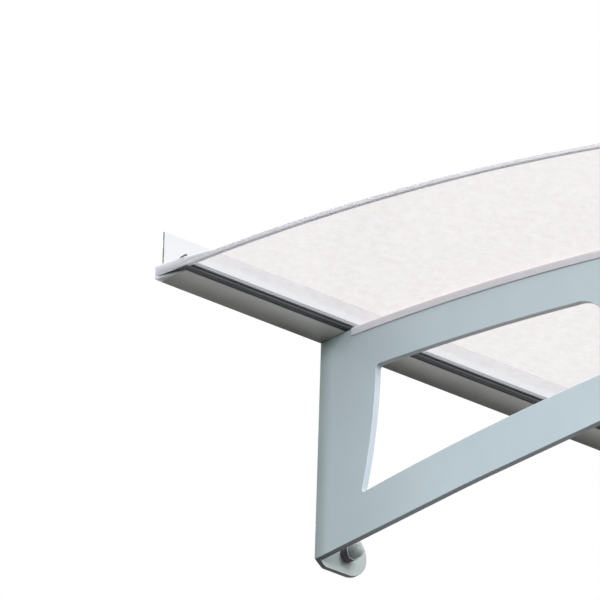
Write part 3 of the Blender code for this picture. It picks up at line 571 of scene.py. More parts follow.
def rounded(sides: Sequence[Ring], radii: Sequence[float], steps: int = 7) -> Ring:
    """Joins sides end to end into a loop and rounds the corner after each.

    Args:
        sides: lists of points, each starting where the one before it ends.
        radii: the rounding at the end of each side.
        steps: stretches in each rounding.
    Returns:
        The closed outline.
    """
    trims = []
    corners = []
    for index, radius in enumerate(radii):
        corner = sides[index][-1]
        back = (sides[index][-2] - corner).normalized()
        ahead = (sides[(index + 1) % len(sides)][1] - corner).normalized()
        half = back.angle(ahead) / 2
        centre = corner + (back + ahead).normalized() * radius / math.sin(half)
        first = corner + back * radius / math.tan(half) - centre
        turn = math.copysign(math.pi - 2 * half, ahead.x * back.y - ahead.y * back.x)
        start = math.atan2(first.y, first.x)
        trims.append(radius / math.tan(half))
        corners.append(arc(centre, radius, start, start + turn, steps))
    outline = []
    for index, side in enumerate(sides):
        before, after = trims[index - 1], trims[index]
        outline += [point for point in side[1:-1]
                    if (point - side[0]).length > before and (point - side[-1]).length > after]
        outline += corners[index]
    return outline


def soft_polygon(corners: Sequence[tuple[float, float, float]], steps: int = 4) -> Ring:
    """A polygon of (u, v, rounding) corners."""
    sides = [[Vector(corners[index - 1][:2]), Vector(corner[:2])]
             for index, corner in enumerate(corners)]
    return rounded(sides, [corner[2] for corner in corners], steps)


def turns_left(outline: Ring) -> bool:
    """Whether an outline runs anticlockwise."""
    pairs = zip(outline, outline[1:] + outline[:1])
    return sum(a.x * b.y - b.x * a.y for a, b in pairs) > 0


def inset(outline: Ring, distance: float, sharpest: float = 0.35) -> Ring:
    """Moves an anticlockwise outline inwards, and a clockwise one outwards.

    Args:
        outline: the closed outline.
        distance: how far each side moves.
        sharpest: cosine below which a corner moves no further.
    Returns:
        An outline with as many points.
    """
    moved = []
    for index, point in enumerate(outline):
        back = (point - outline[index - 1]).normalized()
        ahead = (outline[(index + 1) % len(outline)] - point).normalized()
        square = Vector((-back.y - ahead.y, back.x + ahead.x))
        square.normalize()
        cosine = max(sharpest, square.dot(Vector((-ahead.y, ahead.x))))
        moved.append(point + square * distance / cosine)
    return moved


def closed_mesh(name: str, work: bmesh.types.BMesh) -> Mesh:
    """Turns finished faces outwards and makes the mesh.

    Args:
        name: the mesh's name.
        work: the closed faces; it is freed.
    Returns:
        The mesh.
    """
    bmesh.ops.remove_doubles(work, verts=work.verts, dist=MERGE)
    bmesh.ops.recalc_face_normals(work, faces=work.faces)
    if work.calc_volume(signed=True) < 0:
        bmesh.ops.reverse_faces(work, faces=work.faces)
    mesh = bpy.data.meshes.new(name)
    work.to_mesh(mesh)
    work.free()
    return mesh


def loft(name: str, loops: Sequence[Sequence[Ring]]) -> Mesh:
    """Skins loops of rings and fills both ends.

    Args:
        name: the mesh's name.
        loops: the outer loop first and then its hollows, each a list of rings of 3D points.
    Returns:
        A closed mesh.
    """
    work = bmesh.new()
    ends = ([], [])
    for rings in loops:
        rows = [[work.verts.new(point) for point in ring] for ring in rings]
        for low, high in zip(rows, rows[1:]):
            for index, vert in enumerate(low):
                ahead = (index + 1) % len(low)
                work.faces.new((vert, low[ahead], high[ahead], high[index]))
        ends[0].append(rows[0])
        ends[1].append(rows[-1])
    for rows in ends:
        verts = [vert for row in rows for vert in row]
        for corners in tessellate_polygon([[vert.co for vert in row] for row in rows]):
            work.faces.new([verts[corner] for corner in corners])
    return closed_mesh(name, work)


def along_roof(name: str, profile: Sequence[Vector], start: float, end: float, steps: int) -> Mesh:
    """Lofts a section along the roof.

    Args:
        name: the mesh's name.
        profile: (across, lift) points.
        start: distance from the wall of its near end.
        end: distance of its far end.
        steps: stretches between rings.
    Returns:
        A closed mesh.
    """
    outs = [start + (end - start) * step / steps for step in range(steps + 1)]
    return loft(name, [[[Vector((point[0], -out, ROOF.z(out, point[1]))) for point in profile]
                        for out in outs]])


def plate(name: str, outlines: Sequence[Ring], thickness: float, plane: Plane,
          edge: float, steps: int = 3) -> Mesh:
    """A flat piece with rounded edges all round.

    Args:
        name: the mesh's name.
        outlines: the edge first, then the holes.
        thickness: overall, half on each side of the plane.
        plane: where the outlines lie.
        edge: radius of the rounded edges.
        steps: stretches in that rounding.
    Returns:
        A closed mesh.
    """
    stations = []
    for step in range(steps + 1):
        angle = QUARTER * step / steps
        stations.append((edge * (1 - math.sin(angle)),
                         edge * (1 - math.cos(angle)) - thickness / 2))
    stations += [(inward, -depth) for inward, depth in reversed(stations)]
    loops = []
    for index, outline in enumerate(outlines):
        if turns_left(outline) != (index == 0):
            outline = outline[::-1]
        loops.append([[plane.at(point, depth) for point in inset(outline, inward)]
                      for inward, depth in stations])
    return loft(name, loops)


def turned(name: str, profile: Sequence[Span], plane: Plane, steps: int = 56,
           closed: bool = False) -> Mesh:
    """A turned piece about the plane's square.

    Args:
        name: the mesh's name.
        profile: (radius, w) points; a radius of 0 is a pole.
        plane: its origin is on the axis.
        steps: stretches round the axis.
        closed: whether the profile's last point joins its first.
    Returns:
        A closed mesh.
    """
    work = bmesh.new()
    rows = []
    for radius, w in profile:
        spots = arc(Vector((0.0, 0.0)), radius, 0.0, 2 * math.pi, steps)[:steps if radius else 1]
        rows.append([work.verts.new(plane.at(spot, w)) for spot in spots])
    pairs = list(zip(rows, rows[1:])) + ([(rows[-1], rows[0])] if closed else [])
    for low, high in pairs:
        for index in range(steps):
            ahead = (index + 1) % steps
            quad = [low[index % len(low)], low[ahead % len(low)],
                    high[ahead % len(high)], high[index % len(high)]]
            corners = list(dict.fromkeys(quad))
            if len(corners) > 2:
                work.faces.new(corners)
    return closed_mesh(name, work)


def drill(name: str, radius: float, start: float, end: float, plane: Plane, steps: int) -> Mesh:
    """A cylinder from one distance from the plane to another."""
    return turned(name, [(0.0, start), (radius, start), (radius, end), (0.0, end)], plane, steps)


def carve(mesh: Mesh, others: Sequence[Mesh], operation: str) -> Mesh:
    """Cuts or joins closed meshes.

    Args:
        mesh: what is cut or added to.
        others: the cutters or additions; they are used up.
        operation: DIFFERENCE or UNION.
    Returns:
        A new mesh.
    """
    name = mesh.name
    items = [bpy.data.objects.new(item.name, item) for item in (mesh, *others)]
    for item in items:
        bpy.context.scene.collection.objects.link(item)
    for helper in items[1:]:
        boolean = items[0].modifiers.new(helper.name, 'BOOLEAN')
        boolean.operation = operation
        boolean.solver = 'MANIFOLD'
        boolean.object = helper
    depsgraph = bpy.context.evaluated_depsgraph_get()
    made = bpy.data.meshes.new_from_object(items[0].evaluated_get(depsgraph))
    for item in items:
        used = item.data
        bpy.data.objects.remove(item, do_unlink=True)
        bpy.data.meshes.remove(used)
    made.name = name
    return made


# Sub-assemblies

@dataclass(frozen=True)
class Shared:
    """Sizes that several sub-assemblies share with the frame."""

    half_width: float = 0.750
    reach: float = 0.950
    gap: float = 0.0003
    rail_bottom: float = -0.038
    sheet: float = 0.0030
    web: float = 0.0015
    lip: float = 0.0015
    trim_width: float = 0.0060
    cap_length: float = 0.0110
    flange_reach: float = 0.0480
    nose_reach: float = 0.0585
    nose_height: float = 0.0108
    jaw_root: float = 0.0170
    upstand: float = 0.0025
    gasket: float = 0.0008
    gasket_space: float = 0.0014
    gasket_reach: float = 0.0600
    cap_reach: float = 0.0610
    bracket_inset: float = 0.272
    plate: float = 0.0088
    ear: float = 0.0075
    bolt_bore: float = 0.0044
    low: float = -0.0018
    high: float = 0.0048

    def z(self, line: Line, out: float, over: float = 0.0) -> float:
        """Height of a point of a section.

        Args:
            line: what the height is counted from.
            out: distance from the wall.
            over: height over that line.
        Returns:
            The height in metres.
        """
        if line is SHEET:
            return ROOF.z(out, over)
        if line is JAW:
            share = (out - self.upstand) / (self.nose_reach - self.upstand)
            over += self.rail_bottom + self.jaw_root + (self.nose_height - self.jaw_root) * share
        return over

    def ring(self, corners: Sequence[tuple[float, Line, float, float]], steps: int = 4) -> Ring:
        """The outline of a section with (out, line, height over it, rounding) corners."""
        return soft_polygon([(out, self.z(line, out, over), radius)
                             for out, line, over, radius in corners], steps)


@dataclass
class SubAssembly:
    """What every sub-assembly knows: the shared sizes, the finishes and its finished pieces."""

    finishes: Finishes
    shared: Shared = field(default_factory=Shared)
    pieces: list[str] = field(default_factory=list)

    def paint(self, mesh: Mesh, slot: Slot) -> None:
        """Gives a mesh the finish of a slot and no other."""
        mesh.materials.clear()
        mesh.materials.append(self.finishes.of(slot))

    def add(self, mesh: Mesh, slot: Slot, *nodes: str, sharp: float = 40.0) -> None:
        """Puts a mesh into the scene as a piece of the object.

        Args:
            mesh: the finished mesh, whose name the piece takes.
            slot: the material slot.
            nodes: the CAD nodes that the piece stands for.
            sharp: edges steeper than this many degrees stay sharp.
        """
        self.paint(mesh, slot)
        for face in mesh.polygons:
            face.material_index = 0
        mesh.shade_smooth()
        mesh.set_sharp_from_angle(angle=math.radians(sharp))
        piece = bpy.data.objects.new(mesh.name, mesh)
        bpy.context.scene.collection.objects.link(piece)
        weighted = piece.modifiers.new("flat_faces", 'WEIGHTED_NORMAL')
        weighted.weight = 100
        weighted.keep_sharp = True
        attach(piece, BODY)
        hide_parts(*nodes)
        self.pieces.append(piece.name)

    def dress(self, node: str, slot: Slot) -> None:
        """Gives a CAD node that stays the finish of its slot."""
        self.paint(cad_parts[node].data, slot)
        self.pieces.append(node)

    def make(self) -> None:
        """Makes and dresses the pieces in order."""
        raise NotImplementedError

    def build(self) -> None:
        """Makes the pieces and logs each."""
        self.make()
        for name in self.pieces:
            faces = len(bpy.data.objects[name].data.polygons)
            log.info("%s: %s, %d faces", type(self).__name__, name, faces)


@dataclass
class WallRail(SubAssembly):
    """The extrusion on the wall with its screws and its two gaskets."""

    upstand_height: float = 0.070
    slot_back: float = 0.0040
    jaw_low: float = 0.0044
    jaw_wall: float = 0.0015
    chamber: Span = (0.0065, 0.0550)
    nose_rounding: float = 0.0012
    root_rounding: float = 0.0010
    nose_groove: float = 0.0005
    relief: float = 0.0005
    reliefs: tuple[Span, ...] = ((0.022, 0.009), (-0.009, -0.024))
    screw_x: tuple[float, ...] = (-0.624, -0.208, 0.208, 0.624)
    screw_radius: float = 0.0024
    screw_play: float = 0.0004
    head_radius: float = 0.0052
    head_height: float = 0.0030
    head_side: float = 0.0008
    head_crown: float = 0.0026
    socket_radius: float = 0.0017
    socket_depth: float = 0.0014
    socket_point: float = 0.0004
    socket_clear: float = 0.001
    gasket_rear: float = 0.0080
    rib_height: float = 0.0006
    rib_width: float = 0.0018

    def section(self) -> Ring:
        """Section of the extrusion with its grooves.

        Returns:
            The closed outline.
        """
        size = self.shared
        bottom = size.rail_bottom
        top = bottom + self.upstand_height
        nose = size.nose_reach
        middle = (ROOF.z(nose, self.jaw_low) + size.z(JAW, nose)) / 2
        groove = self.nose_groove
        corners = [
            (0.0, FLAT, bottom, FINE),
            (size.flange_reach, FLAT, bottom, SOFT),
            (size.flange_reach, SHEET, -size.gasket_space, SMALL),
            (self.slot_back, SHEET, -size.gasket_space, FINE),
            (self.slot_back, SHEET, self.jaw_low, FINE),
            (nose, SHEET, self.jaw_low, SMALL),
            (nose, FLAT, middle - groove, HAIR),
            (nose - groove, FLAT, middle, HAIR),
            (nose, FLAT, middle + groove, HAIR),
            (nose, JAW, 0.0, self.nose_rounding),
            (size.upstand, JAW, 0.0, self.root_rounding),
            (size.upstand, FLAT, top, SOFT),
            (0.0, FLAT, top, SMALL),
        ]
        for high, low in self.reliefs:
            corners += [(0.0, FLAT, high, HAIR), (self.relief, FLAT, high - self.relief, HAIR),
                        (self.relief, FLAT, low + self.relief, HAIR), (0.0, FLAT, low, HAIR)]
        return size.ring(corners)

    def rail(self) -> None:
        """The hollow extrusion with its screw holes."""
        size = self.shared
        start, end = self.chamber
        floor = self.jaw_low + self.jaw_wall
        chamber = size.ring([(start, SHEET, floor, SOFT), (end, SHEET, floor, SOFT),
                             (end, JAW, -self.jaw_wall, SOFT), (start, JAW, -self.jaw_wall, SOFT)])
        mesh = plate("rail_extrusion", [self.section(), chamber],
                     2 * (size.half_width - size.cap_length), section_plane(0.0), HAIR, 2)
        bore = self.screw_radius + self.screw_play
        cutters = [drill(f"rail_drill_{index}", bore, -size.upstand, 2 * size.upstand,
                         wall_plane(x, 0.0), 24) for index, x in enumerate(self.screw_x)]
        self.add(carve(mesh, cutters, 'DIFFERENCE'), Slot.RAIL, "wall_rail")

    def screws(self) -> None:
        """Button heads with a six-sided socket."""
        start = self.shared.gap
        base = self.shared.upstand + start
        top = base + self.head_height
        shoulder = base + self.head_side
        crown = [(self.head_radius - self.head_crown * (1 - math.cos(QUARTER * step / 6)),
                  shoulder + (top - shoulder) * math.sin(QUARTER * step / 6)) for step in range(7)]
        profile = [(0.0, start), (self.screw_radius, start), (self.screw_radius, base),
                   (self.head_radius - CRISP, base), (self.head_radius, base + CRISP), *crown,
                   (0.0, top)]
        floor = top - self.socket_depth
        above = top + self.socket_clear
        socket = [(0.0, floor - self.socket_point), (self.socket_radius, floor),
                  (self.socket_radius, above), (0.0, above)]
        for index, x in enumerate(self.screw_x, start=1):
            plane = wall_plane(x, 0.0)
            screw = turned(f"button_screw_{index}", profile, plane, 40)
            cutter = turned(f"socket_{index}", socket, plane, 6)
            self.add(carve(screw, [cutter], 'DIFFERENCE'), Slot.STEEL, f"rail_screw_{index}")

    def gaskets(self) -> None:
        """Rubber lips below and above the sheet."""
        size = self.shared
        front = size.gasket_reach
        rear = self.gasket_rear
        rib = (size.flange_reach + front) / 2
        low = -size.gap - size.gasket
        side = self.rib_width / 2
        outline = size.ring([
            (rear, SHEET, low, CRISP),
            (rib - side, SHEET, low, HAIR),
            (rib, SHEET, low - self.rib_height, FINE),
            (rib + side, SHEET, low, HAIR),
            (front, SHEET, low, FINE),
            (front, SHEET, -size.gap, FINE),
            (rear, SHEET, -size.gap, CRISP),
        ], 3)
        width = 2 * (size.half_width - size.web - size.gap)
        self.add(plate("lower_gasket", [outline], width, section_plane(0.0), HAIR, 1), Slot.RUBBER,
                 "rail_lower_gasket")
        self.dress("rail_upper_gasket", Slot.RUBBER)

    def make(self) -> None:
        """Makes and dresses everything on the rail."""
        for step in (self.rail, self.screws, self.gaskets):
            step()


@dataclass
class RailEnd(SubAssembly):
    """End cap of the rail on one side, with its rubber stop."""

    side: int = -1
    name: str = "left"
    oversize: float = 0.0015
    back_leg: float = 0.0045
    leg_slant: float = 0.0008
    skin: float = 0.0015
    nose_rounding: float = 0.0006
    chamfer: float = 0.0012
    sink: float = 0.0006
    lug: Span = (0.0070, 0.0545)
    lug_lift: float = 0.0062
    lug_drop: float = 0.0018
    lug_length: float = 0.0120
    lug_overlap: float = 0.0040
    tongue_length: float = 0.0470
    tongue_tip: float = 0.0006
    tongue_root: float = 0.0030
    tongue_drop: float = 0.00075
    tongue_rounding: float = 0.0060
    stop_length: float = 0.0120
    stop_width: float = 0.0030
    stop_height: float = 0.0034
    stop_rear: float = 0.0014
    stop_inset: float = 0.0020
    stop_edge: float = 0.0010
    stop_rounding: float = 0.0006

    @property
    def rail_end(self) -> float:
        """Distance from the middle at which the cap meets the rail."""
        return self.shared.half_width - self.shared.cap_length + self.shared.gap

    def cap(self) -> None:
        """Skin, plug, lug, foot and tongue as one moulding."""
        size = self.shared
        outer = size.half_width
        nose = size.cap_reach
        skin = size.ring([
            (0.0, FLAT, size.rail_bottom, SMALL),
            (self.back_leg, FLAT, size.rail_bottom, SMALL),
            (self.back_leg + self.leg_slant, FLAT, ROOF.z(self.back_leg, size.low), SMALL),
            (nose, SHEET, size.low, self.nose_rounding),
            (nose, JAW, self.oversize, self.chamfer),
            (0.0, JAW, self.oversize, SMALL),
        ])
        mesh = plate(f"end_cap_{self.name}", [skin], self.skin,
                     section_plane(self.side * (outer - self.skin / 2)), SMALL)
        lift = size.sheet + size.gap
        top = self.oversize - HAIR
        plug = size.ring([
            (SOFT, FLAT, ROOF.z(0.0, lift), FINE),
            (size.nose_reach, SHEET, lift, FINE),
            (size.nose_reach, JAW, top, self.chamfer),
            (SOFT, FLAT, size.z(JAW, 0.0, top), FINE),
        ])
        length = outer - self.sink - self.rail_end
        plug_mesh = plate("cap_plug", [plug], length,
                          section_plane(self.side * (self.rail_end + length / 2)), FINE, 2)
        start, end = self.lug
        lug = size.ring([(start, SHEET, self.lug_lift, SOFT), (end, SHEET, self.lug_lift, SOFT),
                         (end, JAW, -self.lug_drop, SOFT), (start, JAW, -self.lug_drop, SOFT)])
        middle = self.rail_end + (self.lug_overlap - self.lug_length) / 2
        lug_mesh = plate("cap_lug", [lug], self.lug_length + self.lug_overlap,
                         section_plane(self.side * middle), FINE, 1)
        parts = [plug_mesh, lug_mesh, self.foot(), self.tongue()]
        self.add(carve(mesh, parts, 'UNION'), Slot.TRIM, f"rail_end_cap_{self.name}")

    def tongue(self) -> Mesh:
        """The tongue that runs on over the side trim and tapers down to it.

        Returns:
            The tongue's mesh.
        """
        size = self.shared
        floor = size.high + size.gap
        start = size.nose_reach - self.tongue_root
        end = size.cap_reach + self.tongue_length
        over = self.oversize - self.tongue_drop
        outline = size.ring([
            (start, SHEET, floor, CRISP),
            (end, SHEET, floor, CRISP),
            (end, SHEET, floor + self.tongue_tip, CRISP),
            (size.cap_reach, JAW, over, self.tongue_rounding),
            (start, JAW, over, CRISP),
        ])
        plane = section_plane(self.side * (size.half_width - size.trim_width / 2))
        return plate("cap_tongue", [outline], size.trim_width - 2 * CRISP, plane, CRISP, 2)

    def foot(self) -> Mesh:
        """The wedge below the sheet that tapers from the skin's leg to the flange.

        Returns:
            The wedge's mesh.
        """
        size = self.shared
        rings = []
        for across, front in ((self.rail_end, size.flange_reach),
                              (size.half_width - self.skin / 2, self.back_leg)):
            corners = [(CRISP, FLAT, size.rail_bottom, FINE),
                       (front, FLAT, size.rail_bottom, SMALL),
                       (front, SHEET, -size.gasket_space, FINE),
                       (CRISP, FLAT, ROOF.z(0.0, -size.gasket_space), CRISP)]
            plane = section_plane(self.side * across)
            rings.append([plane.at(point) for point in size.ring(corners, 3)])
        return loft("cap_foot", [rings])

    def stop(self) -> None:
        """The rubber stop on the cap's sloping top."""
        size = self.shared
        end = size.cap_reach - self.stop_inset
        start = end - self.stop_length
        base = self.oversize + size.gap
        outline = size.ring([
            (start, JAW, base, FINE),
            (end, JAW, base, FINE),
            (end, JAW, base + self.stop_height, self.stop_rounding),
            (start, JAW, base + self.stop_rear, SOFT),
        ])
        middle = self.side * (size.half_width - self.stop_edge - self.stop_width / 2)
        self.add(plate(f"rubber_stop_{self.name}", [outline], self.stop_width,
                       section_plane(middle), SMALL), Slot.RUBBER, f"cap_stop_{self.name}")

    def make(self) -> None:
        """Makes and dresses the cap and its stop."""
        self.cap()
        self.stop()


@dataclass
class Roof(SubAssembly):
    """The clear sheet and the trims round its free edges."""

    sheet_span: Span = (0.0055, 0.9475)
    side_front: float = 0.9337
    outer_rounding: float = 0.0009
    front_depth: float = 0.0160
    front_web: float = 0.0022
    drip: float = 0.0090
    drip_rounding: float = 0.0008
    top_rounding: float = 0.0010
    steps: int = 96

    def sheet(self) -> None:
        """The curved sheet with softly broken edges."""
        size = self.shared
        rear, front = self.sheet_span
        low = ROOF.line(rear, front, 0.0, self.steps)
        high = ROOF.line(front, rear, size.sheet, self.steps)
        outline = rounded([low, [low[-1], high[0]], high, [high[-1], low[0]]], [SMALL] * 4, 3)
        width = 2 * (size.half_width - size.web - size.gap)
        self.add(plate("curved_sheet", [outline], width, section_plane(0.0), FINE, 2),
                 Slot.SHEET, "roof_sheet")

    def side_trim(self, side: int, name: str) -> None:
        """A channel over one side edge of the sheet.

        Args:
            side: -1 for the left edge and 1 for the right.
            name: that side's name.
        """
        size = self.shared
        outer = size.half_width
        inner = outer - size.trim_width
        floor = outer - size.web
        seat = size.sheet + size.gap
        section = soft_polygon([
            (inner, size.low, SOFT), (outer, size.low, self.outer_rounding),
            (outer, size.high, self.outer_rounding), (inner, size.high, SOFT),
            (inner, seat, CRISP), (floor, seat, CRISP),
            (floor, -size.gap, CRISP), (inner, -size.gap, CRISP),
        ])
        profile = [(side * point.x, point.y) for point in section]
        mesh = along_roof(f"edge_channel_{name}", profile, size.cap_reach + size.gap,
                          self.side_front, self.steps)
        self.add(mesh, Slot.TRIM, f"side_trim_{name}")

    def front_ring(self, places: Sequence[tuple[float, float, float]]) -> Ring:
        """An outline of the front channel, square to the roof's end.

        Args:
            places: distance back from the front face, lift and rounding of each corner.
        Returns:
            The closed outline as (out, height).
        """
        reach = self.shared.reach
        angle = math.asin(reach / ROOF.radius + math.sin(ROOF.pitch))
        cosine, sine = math.cos(angle), math.sin(angle)
        return soft_polygon([(reach - back * cosine + lift * sine,
                              ROOF.z(reach) + back * sine + lift * cosine, radius)
                             for back, lift, radius in places])

    def front_trim(self) -> None:
        """The front channel with its drip edge, and the two plates that close it."""
        size = self.shared
        low, high, seat = size.low, size.high, size.sheet + size.gap
        web, depth = self.front_web, self.front_depth
        places = [
            (0.0, low - self.drip, self.drip_rounding), (0.0, high, self.top_rounding),
            (depth, high, SOFT), (depth, seat, FINE), (web, seat, FINE), (web, -size.gap, FINE),
            (depth, -size.gap, FINE), (depth, low, SOFT), (web, low, self.drip_rounding),
            (web, low - self.drip, self.drip_rounding),
        ]
        width = 2 * (size.half_width - size.web - size.gap)
        self.add(plate("front_channel", [self.front_ring(places)], width, section_plane(0.0),
                       CRISP, 2), Slot.TRIM, "front_trim")
        closing = self.front_ring([places[index] for index in (0, 1, 2, 7, 9)])
        for side, name in SIDES:
            middle = side * (size.half_width - size.web / 2)
            self.add(plate(f"front_end_{name}", [closing], size.web, section_plane(middle), FINE),
                     Slot.TRIM, f"front_trim_cap_{name}")

    def make(self) -> None:
        """Makes and dresses the sheet and its trims."""
        self.sheet()
        for side, name in SIDES:
            self.side_trim(side, name)
        self.front_trim()


@dataclass
class Bracket(SubAssembly):
    """Plate bracket on one side with its two windows, its two ears and the strip on its arm."""

    side: int = -1
    name: str = "left"
    wall_gap: float = 0.0005
    leg_height: float = 0.302
    leg_step: float = 0.0625
    arm_top: float = -0.0042
    arm_depth: float = 0.0655
    arm_reach: float = 0.872
    tip_depth: float = 0.052
    bar_rise: float = 0.0080
    knee_out: float = 0.300
    sweep_start: float = 0.600
    bar_depth: float = 0.064
    post_width: float = 0.060
    outline_radii: tuple[float, ...] = (3.0, 0.008, 0.002, 0.0012, 0.0008, 0.0012, 0.003)
    window_top: Span = (0.112, 0.550)
    window_low: Span = (0.090, 0.573)
    floor_heights: Span = (0.063, 0.071)
    floor_camber: float = 0.0060
    window_radii: tuple[float, ...] = (0.005, 0.004, 0.012, 0.077)
    tip_window_radii: tuple[float, ...] = (0.006, 0.010, 0.010)
    edge: float = 0.0011
    ear_radius: float = 0.0298
    ear_centre: float = 0.0505
    ear_above_heel: float = 0.0218
    ear_opening: float = math.radians(8)
    ear_shoulder: float = 0.0130
    ear_root: float = 0.0015
    ear_sink: float = 0.0010
    ear_overlap: float = 0.006
    ear_radii: tuple[float, ...] = (0.011, 0.0012, 0.0012, 0.0012)
    ear_edge: float = 0.0010
    upper_ear_drop: float = 0.072
    fillet: float = 0.0040
    fillet_bury: float = 0.002
    bolt_across: float = 0.0462
    bolt_above_heel: float = 0.0180
    strip_start: float = 0.0632
    strip_end_gap: float = 0.004
    strip_shoulder: float = -0.0019
    strip_top: float = 0.0020
    strip_height: float = 0.0110
    strip_wall: float = 0.0015
    strip_rounding: float = 0.0010
    bead_width: float = 0.0030
    bead_rounding: float = 0.0007

    @property
    def heel_z(self) -> float:
        """Height of the bracket's lowest point."""
        return self.shared.rail_bottom - self.leg_height

    @property
    def face(self) -> float:
        """Distance of the plate's outer face from the canopy's middle."""
        return self.shared.half_width - self.shared.bracket_inset

    @property
    def middle(self) -> float:
        """X of the plate's middle."""
        return self.side * (self.face - self.shared.plate / 2)

    def sweep(self) -> tuple[Vector, float]:
        """The arc by which the bar's underside climbs to the tip.

        Returns:
            Its centre and radius.
        """
        level = self.heel_z + self.bar_rise
        run = self.arm_reach - self.sweep_start
        climb = ROOF.z(self.arm_reach, -self.tip_depth) - level
        radius = (run ** 2 + climb ** 2) / (2 * climb)
        return Vector((self.sweep_start, level + radius)), radius

    def edge_outline(self) -> Ring:
        """Outer edge of the plate.

        Returns:
            The closed outline.
        """
        centre, radius = self.sweep()
        turn = math.asin((self.arm_reach - self.sweep_start) / radius)
        climb = arc(centre, radius, -QUARTER, turn - QUARTER, 48)
        leg_top = self.shared.rail_bottom - self.shared.gap
        corner = Vector((self.wall_gap, leg_top))
        heel = Vector((self.wall_gap, self.heel_z))
        knee = Vector((self.knee_out, self.heel_z + self.bar_rise))
        arm = ROOF.line(self.arm_reach, self.leg_step, self.arm_top, 80)
        step_high = Vector((self.leg_step, leg_top))
        sides = [[heel, knee], [knee] + climb, [climb[-1], arm[0]], arm, [arm[-1], step_high],
                 [step_high, corner], [corner, heel]]
        return rounded(sides, self.outline_radii, 8)

    def window(self, steps: int = 30) -> Ring:
        """Edge of the long window.

        Args:
            steps: stretches in its near side and in its floor.
        Returns:
            The closed outline.
        """
        top_near, top_far = self.window_top
        low_near, low_far = self.window_low
        foot, far = (Vector((out, self.heel_z + height))
                     for out, height in zip(self.window_low, self.floor_heights))
        roof_side = ROOF.line(top_far, top_near, -self.arm_depth, 60)
        start = roof_side[-1]
        near_side = []
        floor = []
        for share in (step / steps for step in range(steps + 1)):
            near_side.append(Vector((top_near - (top_near - low_near) * share ** 2,
                                     start.y + (foot.y - start.y) * share)))
            rise = self.floor_camber * 4 * share * (1 - share)
            floor.append(foot.lerp(far, share) + Vector((0.0, rise)))
        return rounded([roof_side, near_side, floor, [far, roof_side[0]]], self.window_radii, 16)

    def tip_window(self) -> Ring:
        """Edge of the small window at the tip.

        Returns:
            The closed outline.
        """
        centre, radius = self.sweep()
        inner = radius - self.bar_depth
        first = math.asin((self.window_low[1] + self.post_width - centre.x) / inner)
        low, high = first, QUARTER
        for _ in range(30):
            angle = (low + high) / 2
            spot = centre + inner * Vector((math.sin(angle), -math.cos(angle)))
            if spot.y < ROOF.z(spot.x, -self.arm_depth):
                low = angle
            else:
                high = angle
        floor = arc(centre, inner, first - QUARTER, low - QUARTER, 30)
        start_high = self.window_top[1] + self.post_width
        roof_side = ROOF.line(floor[-1].x, start_high, -self.arm_depth, 30)
        return rounded([floor[:-1] + [roof_side[0]], roof_side, [roof_side[-1], floor[0]]],
                       self.tip_window_radii, 8)

    def levels(self) -> dict[str, tuple[float, float, int]]:
        """Places of the two ears.

        Returns:
            Height of each ear's centre and of its bolt, and 1 or -1 for which way up it is.
        """
        lower = self.heel_z + self.ear_above_heel
        upper = self.shared.rail_bottom - self.upper_ear_drop
        offset = self.bolt_above_heel - self.ear_above_heel
        return {"lower": (lower, lower + offset, 1), "upper": (upper, upper - offset, -1)}

    def ear(self, level: str, height: float, flip: int) -> Mesh:
        """An ear without its bolt hole.

        Args:
            level: the ear's name.
            height: its centre's height.
            flip: 1 for the lower ear and -1 for the upper one.
        Returns:
            The ear's mesh.
        """
        lobe = arc(Vector((self.ear_centre, 0.0)), self.ear_radius, -QUARTER,
                   QUARTER + self.ear_opening, 40)
        heel = Vector((self.ear_root, self.ear_sink - self.ear_above_heel))
        shoulder = Vector((self.ear_shoulder, -self.ear_radius))
        root = Vector((self.ear_root, self.ear_radius + self.ear_overlap))
        outline = rounded([[heel, shoulder], [shoulder] + lobe, [lobe[-1], root], [root, heel]],
                          self.ear_radii, 6)
        placed = [Vector((self.side * (self.face - point.x), height + flip * point.y))
                  for point in outline]
        thickness = self.shared.ear
        return plate(f"ear_{level}", [placed], thickness, wall_plane(0.0, 0.0, thickness / 2),
                     self.ear_edge)

    def corner(self, level: str, height: float, flip: int, steps: int = 24) -> Mesh:
        """The fillet in the corner between an ear and the plate, which fades at both ends.

        Args:
            level: the ear's name.
            height: its centre's height.
            flip: 1 for the lower ear and -1 for the upper one.
            steps: stretches along the fillet.
        Returns:
            The fillet's mesh.
        """
        front = self.shared.ear
        inner = self.face - self.shared.plate
        foot = self.ear_overlap - self.ear_above_heel
        bury = self.fillet_bury
        sink = Vector((HAIR, -HAIR))
        rings = []
        for share in (step / steps for step in range(steps + 1)):
            ease = math.sin(math.pi * min(1.0, 6 * share, 6 * (1 - share)) / 2)
            radius = FINE + (self.fillet - FINE) * ease
            centre = Vector((inner - radius, front + radius))
            section = [Vector((inner + bury, front - bury)), Vector((inner - radius, front - bury))]
            section += [point + sink for point in arc(centre, radius, -QUARTER, 0.0, 8)]
            section.append(Vector((inner + bury, front + radius)))
            z = height + flip * (foot + (self.ear_radius - foot) * share)
            rings.append([Vector((self.side * point.x, -point.y, z)) for point in section])
        return loft(f"fillet_{level}", [rings])

